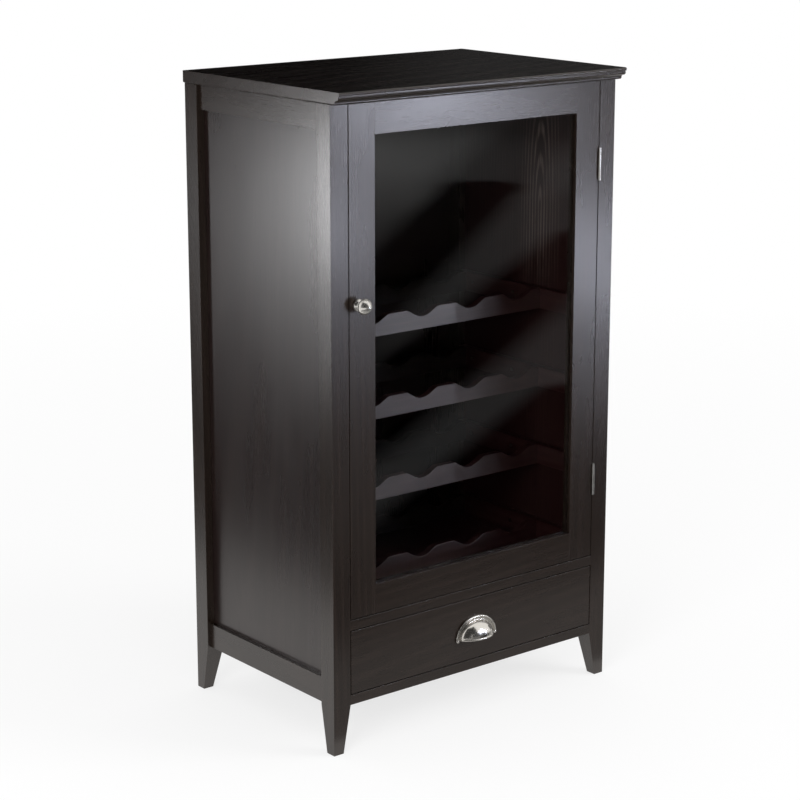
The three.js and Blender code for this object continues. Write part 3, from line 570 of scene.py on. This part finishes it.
def cut_at_neighbours(bm, near, low, high):
    """Cuts the faces of a board where a neighbour's box begins or ends, so that each edge is all free or all glued."""
    for box in near:
        for axis in range(3):
            for corner in box:
                place = corner[axis]
                if low[axis] + CUT_MARGIN < place < high[axis] - CUT_MARGIN:
                    normal = Vector([1.0 if i == axis else 0.0 for i in range(3)])
                    at = Vector([place if i == axis else 0.0 for i in range(3)])
                    everything = list(bm.verts) + list(bm.edges) + list(bm.faces)
                    bmesh.ops.bisect_plane(bm, geom=everything, dist=SAME_POINT, plane_co=at, plane_no=normal)


def dress_board(node, body):
    """Stands in for a board of the CAD: the same solid with its free edges eased. Where it is glued to a neighbour the
    edge stays sharp, so that flush joints stay flush."""
    near = [] if node in LOOSE_EDGES else boxes_near(node, body)
    low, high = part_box(node)
    bm = bmesh.new()
    bm.from_mesh(NODES[node].data)
    bmesh.ops.remove_doubles(bm, verts=bm.verts, dist=SAME_POINT)
    bmesh.ops.dissolve_limit(bm, angle_limit=FLAT, verts=bm.verts, edges=bm.edges)
    cut_at_neighbours(bm, near, low, high)
    edges = []
    for edge in bm.edges:
        if len(edge.link_faces) != 2 or edge.calc_face_angle_signed(0.0) < CORNER:
            continue
        middle = (edge.verts[0].co + edge.verts[1].co) / 2
        if not any(inside(middle, box) for box in near):
            edges.append(edge)
    if node in LOOSE_EDGES:
        under = [edge for edge in edges if all(abs(vert.co.z - low.z) < SAME_LEVEL for vert in edge.verts)]
        edges = [edge for edge in edges if edge not in under]
        bevel_edges(bm, under, UNDERSIDE_EASE)
        edges = [edge for edge in edges if edge.is_valid]
    bevel_edges(bm, edges, EASE)
    mesh = bpy.data.meshes.new(f"{node}_board")
    bm.to_mesh(mesh)
    bm.free()
    # The racks' back rails take the darker, duller wood: its darker colour is painted shade
    wood_look = SHADED_DULL_WOOD if node.startswith("rack_back_rail") else WOODS[SLOTS[node]]
    looks = [wood_look[grain_axis(node)]]
    if node in SIDE_LOOKS:
        looks.append(SIDE_LOOKS[node][grain_axis(node)])
        shown = SIDE_SHOWN[node]
        for face in mesh.polygons:
            face.material_index = 1 if face.normal.dot(shown) > SAME_SIDE else 0
    board = finish_mesh(f"{node}_board", mesh, looks, BOARD_SMOOTH)
    level_normals(mesh, BOARD_SMOOTH)
    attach(board, body)
    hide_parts(node)
    return board


for body, names in BODIES.items():
    for node in names:
        if SLOTS[node] in WOODS:
            dress_board(node, body)


# ---------------------------------------------------------------- knob, cup pull and screws

MM = 0.001
# Facets of a full turn, of a rod, of a ball and of a screw head, and from front to top of the pull's dome
ROUND = 64
ROD_SIDES = 14
BALL_SIDES = 24
BALL_RINGS = 20
SCREW_SIDES = 20
DOME_ROWS = 21
# The ring at which a ball comes out of the flange, and the slope over which a rod takes its sides from Y
BALL_START = 8
STEEP = 0.8
# Shading is smooth up to these bends on the pull and on the heads of screws
PULL_SMOOTH = math.radians(40)
SCREW_SMOOTH = math.radians(25)


def smooth_line(points, steps):
    """A curve through all the points, steps to each span."""
    line = []
    ends = [2 * points[0] - points[1], *points, 2 * points[-1] - points[-2]]
    for i in range(1, len(ends) - 2):
        a, b, c, d = ends[i - 1:i + 3]
        for step in range(steps):
            s = step / steps
            line.append((2 * b + (c - a) * s + (2 * a - 5 * b + 4 * c - d) * s * s
                         + (3 * b - a - 3 * c + d) * s ** 3) / 2)
    return line + [points[-1]]


def close_ring(bm, ring, inwards):
    bm.faces.new(list(reversed(ring)) if inwards else ring)


def join_rings(bm, first, second):
    count = len(first)
    for i in range(count):
        j = (i + 1) % count
        bm.faces.new((first[i], first[j], second[j], second[i]))


def turned(bm, outline, at, segments=ROUND):
    """Adds a solid turned about a line towards the front. outline runs from its rim at the board to near its nose, as
    radius and reach; the nose is closed by a point on the axis at the last reach."""
    rings = []
    for radius, reach in outline[:-1]:
        rings.append([
            bm.verts.new(at + Vector((radius * math.cos(a), -reach, radius * math.sin(a))))
            for a in (2 * math.pi * i / segments for i in range(segments))
        ])
    for first, second in zip(rings, rings[1:]):
        join_rings(bm, first, second)
    close_ring(bm, rings[0], True)
    nose = bm.verts.new(at + Vector((0, -outline[-1][1], 0)))
    for i in range(segments):
        bm.faces.new((rings[-1][i], rings[-1][(i + 1) % segments], nose))


def solid_piece(name, bm, body, material, slot, *nodes, smooth=SMOOTH):
    bmesh.ops.recalc_face_normals(bm, faces=bm.faces)
    mesh = bpy.data.meshes.new(name)
    bm.to_mesh(mesh)
    bm.free()
    piece = finish_mesh(name, mesh, [material], smooth)
    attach(piece, body)
    if nodes:
        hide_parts(*nodes)
    return piece


# Mushroom knob, as radius and reach in millimetres: the foot of its base, then base, waisted neck, rim and domed head
KNOB_FOOT = ((8.8, 0), (8.8, 1.9))
KNOB_CURVE = (
    (8.8, 1.9), (8.4, 3.0), (7.0, 4.1), (5.6, 5.7), (5.0, 7.8), (5.6, 9.7), (7.7, 11.2), (10.2, 12.6), (11.4, 14.3),
    (11.5, 15.5), (11.0, 17.0), (9.8, 19.2), (7.6, 22.0), (4.8, 24.4), (1.6, 25.8), (0.0, 26.0),
)
KNOB_STEPS = 5


def turned_knob():
    low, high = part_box("door_knob")
    at = Vector(((low.x + high.x) / 2, high.y, (low.z + high.z) / 2))
    foot = [Vector(point) for point in KNOB_FOOT]
    outline = foot + smooth_line([Vector(point) for point in KNOB_CURVE], KNOB_STEPS)[1:]
    bm = bmesh.new()
    turned(bm, [(p.x * MM, p.y * MM) for p in outline], at)
    return solid_piece("knob_turned", bm, "door", LIT_KNOB_NICKEL, "nickel", "door_knob")


def tube(bm, path, radius):
    """Adds a round rod along the path, closed at both ends."""
    rings = []
    for i, point in enumerate(path):
        ahead = (path[min(i + 1, len(path) - 1)] - path[max(i - 1, 0)]).normalized()
        side = ahead.cross(Vector((0, 0, 1)) if abs(ahead.z) < STEEP else Vector((0, 1, 0))).normalized()
        up = side.cross(ahead)
        if rings and (rings[-1][0].co - path[i - 1]).dot(side) < 0:
            side, up = -side, -up
        rings.append([
            bm.verts.new(point + radius * (math.cos(a) * side + math.sin(a) * up))
            for a in (2 * math.pi * k / ROD_SIDES for k in range(ROD_SIDES))
        ])
    for first, second in zip(rings, rings[1:]):
        join_rings(bm, first, second)
    close_ring(bm, rings[0], True)
    close_ring(bm, rings[-1], False)


# Cup pull, with the sizes of its CAD solid: the level of its open edge, its outline, its flange and wall, and the radii
# of the bead on the rim, the ring where dome and flange meet, the rolled lip and the end balls
PULL_LEVEL = 0.12175
PULL_HALF_WIDTH, PULL_HEIGHT, PULL_PROJECTION = 39 * MM, 33 * MM, 20.5 * MM
PULL_FLANGE_WIDTH, PULL_FLANGE_THICKNESS, PULL_WALL = 7 * MM, 1.8 * MM, 1.8 * MM
PULL_RIM, PULL_RING, PULL_LIP, PULL_BALL = 2 * MM, 1.2 * MM, 1.5 * MM, 2.8 * MM


def cup_pull():
    """Cup pull: half dome, flange with a beaded rim, a ring where they meet, a rolled lip and two end balls."""
    low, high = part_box("cup_pull")
    at = Vector(((low.x + high.x) / 2, high.y, PULL_LEVEL))
    dome_half, dome_height = PULL_HALF_WIDTH - PULL_FLANGE_WIDTH, PULL_HEIGHT - PULL_FLANGE_WIDTH
    dome_reach = PULL_PROJECTION - PULL_LIP / 2
    bm = bmesh.new()

    # Dome: a shell between two quarter ellipsoids, open below and at the back
    def shell(shrink):
        a, b, c = dome_half - shrink, dome_reach - shrink, dome_height - shrink
        grid = []
        for i in range(1, ROUND):
            t = math.pi * i / ROUND
            row = []
            for k in range(DOME_ROWS + 1):
                s = math.pi / 2 * k / DOME_ROWS
                row.append(bm.verts.new(at + Vector((
                    a * math.cos(t), -b * math.sin(t) * math.cos(s), c * math.sin(t) * math.sin(s)))))
            grid.append(row)
        ends = [bm.verts.new(at + Vector((side * a, 0, 0))) for side in (1, -1)]
        for first, second in zip(grid, grid[1:]):
            for k in range(len(first) - 1):
                bm.faces.new((first[k], first[k + 1], second[k + 1], second[k]))
        for row, end in ((grid[0], ends[0]), (grid[-1], ends[1])):
            for k in range(len(row) - 1):
                bm.faces.new((row[k], row[k + 1], end))
        return [[ends[0], *[row[k] for row in grid], ends[1]] for k in (0, -1)]

    outer, inner = shell(0), shell(PULL_WALL)
    for outside, within in zip(outer, inner):
        for i in range(len(outside) - 1):
            bm.faces.new((outside[i], outside[i + 1], within[i + 1], within[i]))

    def arch(reach_x, reach_z, y):
        return [
            at + Vector((reach_x * math.cos(math.pi * i / ROUND), y, reach_z * math.sin(math.pi * i / ROUND)))
            for i in range(ROUND + 1)
        ]

    # Flange: a flat arch between the rim and the dome
    rim_half, rim_height = PULL_HALF_WIDTH - PULL_RIM, PULL_HEIGHT - PULL_RIM
    edges = []
    for reach_x, reach_z, y in (
        (rim_half, rim_height, 0), (rim_half, rim_height, -PULL_FLANGE_THICKNESS),
        (dome_half - PULL_WALL, dome_height - PULL_WALL, -PULL_FLANGE_THICKNESS),
        (dome_half - PULL_WALL, dome_height - PULL_WALL, 0),
    ):
        edges.append([bm.verts.new(p) for p in arch(reach_x, reach_z, y)])
    for first, second in zip(edges, [*edges[1:], edges[0]]):
        for i in range(len(first) - 1):
            bm.faces.new((first[i], first[i + 1], second[i + 1], second[i]))
    for end in (0, -1):
        bm.faces.new([edge[end] for edge in edges])

    # Rods along the rim, the ring and the lip, and the end balls
    tube(bm, arch(rim_half, rim_height, -PULL_FLANGE_THICKNESS), PULL_RIM)
    tube(bm, arch(dome_half, dome_height, -PULL_FLANGE_THICKNESS), PULL_RING)
    tube(bm, [
        at + Vector((
            (dome_half - PULL_LIP) * math.cos(math.pi * i / ROUND),
            -(PULL_PROJECTION - PULL_LIP) * math.sin(math.pi * i / ROUND), PULL_LIP))
        for i in range(ROUND + 1)
    ], PULL_LIP)
    for side in (1, -1):
        middle = at + Vector((side * (PULL_HALF_WIDTH - PULL_BALL), -PULL_FLANGE_THICKNESS, 0))
        turned(bm, [
            (PULL_BALL * math.sin(math.pi * i / BALL_RINGS), -PULL_BALL * math.cos(math.pi * i / BALL_RINGS))
            for i in range(BALL_START, BALL_RINGS + 1)
        ], middle, BALL_SIDES)
    return solid_piece("pull_cup", bm, "drawer", NICKEL, "nickel", "cup_pull", smooth=PULL_SMOOTH)


# Heads of screws, bolts and pins: radius, height, and whether there is a cross in the head
CLEAT_SCREW = (2.8 * MM, 0.9 * MM, True)
CATCH_SCREW = (2.1 * MM, 0.6 * MM, True)
STRIKE_SCREW = (2.1 * MM, 0.25 * MM, True)
HINGE_SCREW = (2.3 * MM, 0.04 * MM, True)
KNOB_BOLT = (4.0 * MM, 1.6 * MM, True)
PULL_BOLT = (3.6 * MM, 1.5 * MM, True)
PANEL_PIN = (1.7 * MM, 0.5 * MM, False)
BEAD_PIN = (0.9 * MM, 0.2 * MM, False)
# Their places: depths in the row frame, distances from an edge, and shares of a length
TIERS = 4
CLEAT_SCREW_DEPTHS = (0.027, 0.124)
PANEL_PIN_EDGE, PANEL_PIN_END = 6 * MM, 12 * MM
PANEL_PIN_HEIGHTS = (0.04, 0.2, 0.36, 0.52, 0.68, 0.84, 0.97)
PANEL_PIN_WIDTHS = (0.2, 0.4, 0.6, 0.8)
CATCH_SCREW_EDGE = 6 * MM
HINGE_SCREW_EDGE = 7 * MM
LEAF_BACK = 1 * MM
HINGE_SCREW_HEIGHTS = (0.16, 0.5, 0.84)
BEAD_PIN_HEIGHTS = (0.06, 0.28, 0.5, 0.72, 0.94)
BEAD_PIN_WIDTHS = (0.12, 0.5, 0.88)
PULL_BOLT_EDGE, PULL_BOLT_LIFT = 5 * MM, 6 * MM
# A head's outline from the board up, as shares of its radius and height, after a first ring sunk in the board
HEAD_SINK = 0.1 * MM
HEAD_OUTLINE = ((1, 0.35), (0.94, 0.75), (0.8, 1))
# The cross: its arms' length and half width as shares of the radius, and its floor's height and size as shares
CROSS_ARM, CROSS_WIDTH = 0.52, 0.13
CROSS_FLOOR, CROSS_TAPER = 0.1, 0.8


def add_screw(bm, at, facing, radius, height, crossed):
    """Adds the head of a screw, or of a plain pin where crossed is off. It stands on the surface at the place, facing
    out."""
    facing = Vector(facing)
    side = facing.orthogonal().normalized()
    up = facing.cross(side)

    def level(share, rise):
        return [
            bm.verts.new(Vector(at) + facing * rise + radius * share * (math.cos(a) * side + math.sin(a) * up))
            for a in (2 * math.pi * i / SCREW_SIDES for i in range(SCREW_SIDES))
        ]

    rings = [level(1, -HEAD_SINK), *[level(share, rise * height) for share, rise in HEAD_OUTLINE]]
    close_ring(bm, rings[0], True)
    for first, second in zip(rings, rings[1:]):
        join_rings(bm, first, second)
    if not crossed:
        close_ring(bm, rings[-1], False)
        return
    arm, width = CROSS_ARM * radius, CROSS_WIDTH * radius
    corners = []
    for quarter in range(4):
        c, s = round(math.cos(quarter * math.pi / 2)), round(math.sin(quarter * math.pi / 2))
        for x, y in ((arm, -width), (arm, width), (width, width)):
            corners.append((c * x - s * y) * side + (s * x + c * y) * up)
    brim = [bm.verts.new(Vector(at) + facing * height + corner) for corner in corners]
    floor = [bm.verts.new(Vector(at) + facing * (CROSS_FLOOR * height) + corner * CROSS_TAPER) for corner in corners]
    join_rings(bm, brim, floor)
    bm.faces.new(floor)
    loops = []
    for loop in (rings[-1], brim):
        for i in range(len(loop)):
            edge = bm.edges.get((loop[i], loop[(i + 1) % len(loop)]))
            loops.append(edge or bm.edges.new((loop[i], loop[(i + 1) % len(loop)])))
    bmesh.ops.triangle_fill(bm, edges=loops, use_beauty=True)


def screws(name, body, heads):
    bm = bmesh.new()
    for head in heads:
        add_screw(bm, *head)
    return solid_piece(name, bm, body, SCREW, "hinge_steel", smooth=SCREW_SMOOTH)


def both_ends(low, high, inset):
    """Two places on X, as far in from the ends."""
    return low.x + inset, high.x - inset


def hinge_screws(leaf, facing):
    """Screw heads in the wide face of a hinge leaf."""
    low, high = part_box(leaf)
    pick = max if facing > 0 else min
    face = pick(v.co.x for v in NODES[leaf].data.vertices if v.co.y > high.y - LEAF_BACK)
    return [
        ((face, high.y - HINGE_SCREW_EDGE, low.z + share * (high.z - low.z)), (facing, 0, 0), *HINGE_SCREW)
        for share in HINGE_SCREW_HEIGHTS
    ]


def carcass_screws():
    heads = []
    for side, facing in (("left", 1), ("right", -1)):
        for tier in range(1, TIERS + 1):
            low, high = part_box(f"rack_cleat_{side}_{tier}")
            face = high.x if facing > 0 else low.x
            for depth in CLEAT_SCREW_DEPTHS:
                heads.append(((face, depth, (low.z + high.z) / 2), (facing, 0, 0), *CLEAT_SCREW))
    low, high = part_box("back_panel")
    for share in PANEL_PIN_HEIGHTS:
        for place in both_ends(low, high, PANEL_PIN_EDGE):
            heads.append(((place, high.y, low.z + share * (high.z - low.z)), (0, 1, 0), *PANEL_PIN))
    for share in PANEL_PIN_WIDTHS:
        for level in (low.z + PANEL_PIN_END, high.z - PANEL_PIN_END):
            heads.append(((low.x + share * (high.x - low.x), high.y, level), (0, 1, 0), *PANEL_PIN))
    low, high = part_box("door_catch")
    for place in both_ends(low, high, CATCH_SCREW_EDGE):
        heads.append(((place, (low.y + high.y) / 2, low.z), (0, 0, -1), *CATCH_SCREW))
    for level in ("top", "bottom"):
        heads += hinge_screws(f"hinge_frame_leaf_{level}", -1)
    return screws("screws_carcass", "carcass", heads)


def door_screws():
    low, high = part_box("door_knob")
    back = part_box("door_stile_left")[1].y
    heads = [(((low.x + high.x) / 2, back, (low.z + high.z) / 2), (0, 1, 0), *KNOB_BOLT)]
    low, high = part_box("catch_strike_plate")
    for place in both_ends(low, high, CATCH_SCREW_EDGE):
        heads.append(((place, high.y, (low.z + high.z) / 2), (0, 1, 0), *STRIKE_SCREW))
    for side in ("left", "right"):
        low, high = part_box(f"glass_bead_{side}")
        for share in BEAD_PIN_HEIGHTS:
            place = ((low.x + high.x) / 2, high.y, low.z + share * (high.z - low.z))
            heads.append((place, (0, 1, 0), *BEAD_PIN))
    for level in ("top", "bottom"):
        low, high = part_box(f"glass_bead_{level}")
        for share in BEAD_PIN_WIDTHS:
            place = (low.x + share * (high.x - low.x), high.y, (low.z + high.z) / 2)
            heads.append((place, (0, 1, 0), *BEAD_PIN))
        heads += hinge_screws(f"hinge_door_leaf_{level}", 1)
    return screws("screws_door", "door", heads)


def drawer_screws():
    low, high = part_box("cup_pull")
    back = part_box("drawer_front")[1].y
    heads = [
        ((place, back, low.z + PULL_BOLT_LIFT), (0, 1, 0), *PULL_BOLT)
        for place in both_ends(low, high, PULL_BOLT_EDGE)
    ]
    return screws("screws_drawer", "drawer", heads)


turned_knob()
cup_pull()
carcass_screws()
door_screws()
drawer_screws()


# ---------------------------------------------------------------- fittings that keep their CAD solid

PLAIN = {"hinge_steel": HINGE, "clear_glass": GLASS, "catch_plastic": CATCH_PLASTIC, "nickel": NICKEL}
for node, obj in NODES.items():
    if SLOTS[node] in PLAIN:
        obj.data.materials.clear()
        obj.data.materials.append(PLAIN[SLOTS[node]])


# ---------------------------------------------------------------- studio


def stage_plane(name, corners, material):
    mesh = bpy.data.meshes.new(name)
    mesh.from_pydata(corners, [], [tuple(range(len(corners)))])
    mesh.materials.append(material)
    obj = bpy.data.objects.new(name, mesh)
    scene.collection.objects.link(obj)
    return obj


def seen_directly(nodes, links):
    """1 for what the camera sees, straight or by way of metal or glass."""
    path = nodes.new("ShaderNodeLightPath")
    seen = calculate(nodes, links, "MAXIMUM", path.outputs["Is Camera Ray"], path.outputs["Is Glossy Ray"])
    return calculate(nodes, links, "MAXIMUM", seen, path.outputs["Is Transmission Ray"])


FLOOR_COLOUR = (0.90, 0.90, 0.90, 1)
FLOOR_ROUGHNESS, FLOOR_GLOSS = 0.9, 0.1
# Between these distances from the middle the floor goes from its own white, with the shadows, to plain white
FLOOR_FADE = (0.5, 3.0)
FLOOR_LIFT_NEAR = 0.74


def floor_material():
    """White to the eye, in metal and in glass. Near the cabinet it keeps the shadows, and far off it is plain white."""
    material, nodes, links, shader, output = new_material("floor_white")
    shader.inputs["Base Color"].default_value = FLOOR_COLOUR
    shader.inputs["Roughness"].default_value = FLOOR_ROUGHNESS
    shader.inputs["Specular IOR Level"].default_value = FLOOR_GLOSS
    glow = nodes.new("ShaderNodeEmission")
    mix = nodes.new("ShaderNodeMixShader")
    away = nodes.new("ShaderNodeVectorMath")
    away.operation = "LENGTH"
    links.new(nodes.new("ShaderNodeTexCoord").outputs["Object"], away.inputs[0])
    lift = remap(nodes, links, away.outputs["Value"], *FLOOR_FADE, FLOOR_LIFT_NEAR, 1.0)
    links.new(calculate(nodes, links, "MULTIPLY", seen_directly(nodes, links), lift), mix.inputs[0])
    links.new(shader.outputs[0], mix.inputs[1])
    links.new(glow.outputs[0], mix.inputs[2])
    links.new(mix.outputs[0], output.inputs[0])
    return material


AMBIENT_STRENGTH = 0.80


def white_world():
    """White where it is seen, and a little less where it lights the object."""
    world = bpy.data.worlds.new("studio")
    scene.world = world
    world.use_nodes = True
    world.cycles.sampling_method = "NONE"
    nodes, links = world.node_tree.nodes, world.node_tree.links
    nodes.clear()
    output = nodes.new("ShaderNodeOutputWorld")
    ambient = nodes.new("ShaderNodeBackground")
    ambient.inputs["Color"].default_value = (1, 1, 1, 1)
    ambient.inputs["Strength"].default_value = AMBIENT_STRENGTH
    white = nodes.new("ShaderNodeBackground")
    white.inputs["Color"].default_value = (1, 1, 1, 1)
    white.inputs["Strength"].default_value = 1.0
    mix = nodes.new("ShaderNodeMixShader")
    links.new(seen_directly(nodes, links), mix.inputs[0])
    links.new(ambient.outputs[0], mix.inputs[1])
    links.new(white.outputs[0], mix.inputs[2])
    links.new(mix.outputs[0], output.inputs[0])


def streak(nodes, links, place, start, end, core, rim, depth=1.0):
    """A long rounded streak on the ground from start to end: depth inside its core, 0 beyond its rim."""
    start, end = Vector((*start, 0)), Vector((*end, 0))
    run = end - start

    def vector(operation, first, second):
        node = nodes.new("ShaderNodeVectorMath")
        node.operation = operation
        for socket, value in zip(node.inputs, (first, second)):
            if isinstance(value, Vector):
                socket.default_value = value
            elif value is not None:
                links.new(value, socket)
        return node

    from_start = vector("SUBTRACT", place, start).outputs["Vector"]
    part = vector("DOT_PRODUCT", from_start, run / run.length_squared).outputs["Value"]
    part = remap(nodes, links, part, 0, 1)
    along = vector("SCALE", None, None)
    along.inputs[0].default_value = run
    links.new(part, along.inputs["Scale"])
    off = vector("SUBTRACT", from_start, along.outputs["Vector"]).outputs["Vector"]
    far = vector("LENGTH", off, None).outputs["Value"]
    return remap(nodes, links, far, core, rim, depth, 0)


def dark_card(name, corners, glow, streaks=(), lift=None):
    """A dark studio card. Only gloss shows it, and it takes no light away. lift is a brighter far corner, and the
    streaks are darker bands on such a card."""
    material, nodes, links, _, output = new_material(name)
    material.cycles.emission_sampling = "NONE"
    place = nodes.new("ShaderNodeTexCoord").outputs["Object"]
    light = nodes.new("ShaderNodeEmission")
    if lift:
        split = nodes.new("ShaderNodeSeparateXYZ")
        links.new(place, split.inputs[0])
        far = remap(nodes, links, split.outputs["Y"], *lift["y"])
        left = remap(nodes, links, split.outputs["X"], *lift["x"])
        level = calculate(nodes, links, "MULTIPLY", far, left)
        level = calculate(nodes, links, "MULTIPLY", level, lift["glow"] - glow)
        level = calculate(nodes, links, "ADD", level, glow)
        for one in streaks:
            shade = streak(nodes, links, place, *one)
            level = calculate(nodes, links, "MULTIPLY", level, calculate(nodes, links, "SUBTRACT", 1, shade))
        links.new(level, light.inputs["Strength"])
    else:
        light.inputs["Strength"].default_value = glow
    mirrored = calculate(nodes, links, "MINIMUM", nodes.new("ShaderNodeLightPath").outputs["Glossy Depth"], 1)
    mix = nodes.new("ShaderNodeMixShader")
    links.new(mirrored, mix.inputs[0])
    links.new(nodes.new("ShaderNodeBsdfTransparent").outputs[0], mix.inputs[1])
    links.new(light.outputs[0], mix.inputs[2])
    links.new(mix.outputs[0], output.inputs[0])
    obj = stage_plane(name, corners, material)
    obj.visible_camera = False
    obj.visible_diffuse = False
    obj.visible_volume_scatter = False
    obj.visible_shadow = False
    return obj


def softbox(name, place, target, width, height, power, gloss=True, diffuse=True):
    data = bpy.data.lights.new(name, "AREA")
    data.shape = "RECTANGLE"
    data.size, data.size_y = width, height
    data.energy = power
    lamp = bpy.data.objects.new(name, data)
    aim = (Vector(target) - Vector(place)).to_track_quat("-Z", "Y")
    lamp.matrix_world = Matrix.Translation(place) @ aim.to_matrix().to_4x4()
    lamp.visible_camera = False
    lamp.visible_transmission = False
    lamp.visible_glossy = gloss
    lamp.visible_diffuse = diffuse
    scene.collection.objects.link(lamp)
    return lamp


def panel_lamp(name, facing, place, across, up, radiance, colour):
    """An upright softbox parallel to the front ("y") or to the side ("x"), given by its edges. Only gloss shows it."""
    width, height = across[1] - across[0], up[1] - up[0]
    middle = (across[0] + across[1]) / 2
    level = (up[0] + up[1]) / 2
    at = (middle, place, level) if facing == "y" else (place, middle, level)
    target = (middle, 0, level) if facing == "y" else (0, middle, level)
    lamp = softbox(name, at, target, width, height, radiance * math.pi * width * height, diffuse=False)
    lamp.data.color = colour


def level_corners(x, y, height):
    """Corners of a level rectangle between two places on X and two on Y."""
    return [(x[0], y[0], height), (x[1], y[0], height), (x[1], y[1], height), (x[0], y[1], height)]


def upright_corners(start, end, foot, head):
    """Corners of an upright card that stands over the line from start to end."""
    return [(*start, foot), (*end, foot), (*end, head), (*start, head)]


FLOOR_REACH = (-30, 30)
stage_plane("floor", level_corners(FLOOR_REACH, FLOOR_REACH, 0), floor_material())
white_world()

# Dark cards on the floor before the cabinet, which its door and its glass show. The streaks make the slanting bands in
# the glass: start, end, half width of the core, half width with its soft rim, and depth
ON_FLOOR, OVER_FLOOR = 0.002, 0.003
FRONT_STREAKS = (
    ((0.9, -1.94), (3.35, -4.00), 0.10, 0.20),
    ((3.35, -4.00), (5.20, -5.57), 0.11, 0.28, 0.55),
    ((0.7, -1.47), (2.95, -2.96), 0.11, 0.20),
    ((-0.1, -0.53), (1.45, -1.47), 0.07, 0.14),
    ((0.60, -0.74), (1.50, -1.28), 0.19, 0.31),
)
FRONT_CORNERS = [(-1.2, -0.50, ON_FLOOR), (2.5, -0.50, ON_FLOOR), (9, -9, ON_FLOOR), (-1.2, -9, ON_FLOOR)]
FRONT_LIFT = {"y": (-3.6, -5.0), "x": (4.5, 3.4), "glow": 0.70}
dark_card("card_front", FRONT_CORNERS, 0.17, FRONT_STREAKS, FRONT_LIFT)
dark_card("card_near", level_corners((-1.2, 2.5), (-0.20, -0.50), OVER_FLOOR), 0.35)
dark_card("wall_front", upright_corners((-1.5, -6.5), (9, -6.5), 0, 2.2), 0.066)

# Dark cards that the left side shows
dark_card("card_left", [(-0.66, 0.3, ON_FLOOR), (-0.66, 9, ON_FLOOR), (-9, 9, ON_FLOOR), (-9, 0.3, ON_FLOOR)], 0.02)
dark_card("wall_left", upright_corners((-5, 1.0), (-5, 6), 0, 2.2), 0.033)

# Tall dark cards behind the camera, which the moulding and the pull show
dark_card("wall_behind", upright_corners((-6, -1.6), (-1.8, -6.2), 0, 16), 0.05)
dark_card("wall_high", upright_corners((-1.8, -6.2), (1.6, -6.6), 2.2, 16), 0.05)

# Dark cards on the right, and behind the cabinet, which the pull and the top board show
dark_card("wall_right", upright_corners((5.5, -1.2), (4.5, 3.0), 0, 1.6), 0.10)
BACK_LIFT = {"y": (3.0, 3.1), "x": (2.3, 2.85), "glow": 0.04}
dark_card("wall_back", upright_corners((-6, 3.2), (9, 3.2), 0.6, 9.0), 0.0, lift=BACK_LIFT)

# The plain light on the object
softbox("fill_right", (2.4, -2.6, 1.7), (0, 0, 0.5), 1.6, 1.6, 60, gloss=False)
softbox("fill_left", (-2.4, -1.4, 1.25), (0, 0, 0.6), 1.2, 1.2, 42, gloss=False)

# Lamps that the gloss shows, a metre before the front, further off for the racks' rails, and beside the left side
FRONT_LAMPS, RACK_LAMPS, SIDE_LAMPS = -1.163, -1.75, -1.265
COOL = (0.76, 0.82, 1.0)
PALE = (0.92, 0.95, 1.0)
panel_lamp("key_top", "y", FRONT_LAMPS, (0.65, 0.84), (0.735, 0.83), 7.5, COOL)
panel_lamp("key_rack", "y", RACK_LAMPS, (0.98, 1.42), (0.63, 0.76), 27, COOL)
panel_lamp("key_corner", "y", FRONT_LAMPS, (0.40, 0.58), (0.46, 0.62), 10.5, COOL)
panel_lamp("key_corner_low", "y", FRONT_LAMPS, (0.40, 0.58), (0.25, 0.40), 2.1, COOL)
panel_lamp("key_right", "y", FRONT_LAMPS, (1.14, 1.20), (0.33, 0.50), 62, COOL)
panel_lamp("key_right_low", "y", FRONT_LAMPS, (1.14, 1.20), (0.10, 0.30), 8, COOL)
panel_lamp("key_side", "x", SIDE_LAMPS, (0.80, 1.08), (0.44, 0.73), 26, PALE)
panel_lamp("key_side_low", "x", SIDE_LAMPS, (0.80, 1.08), (0.20, 0.42), 5, PALE)
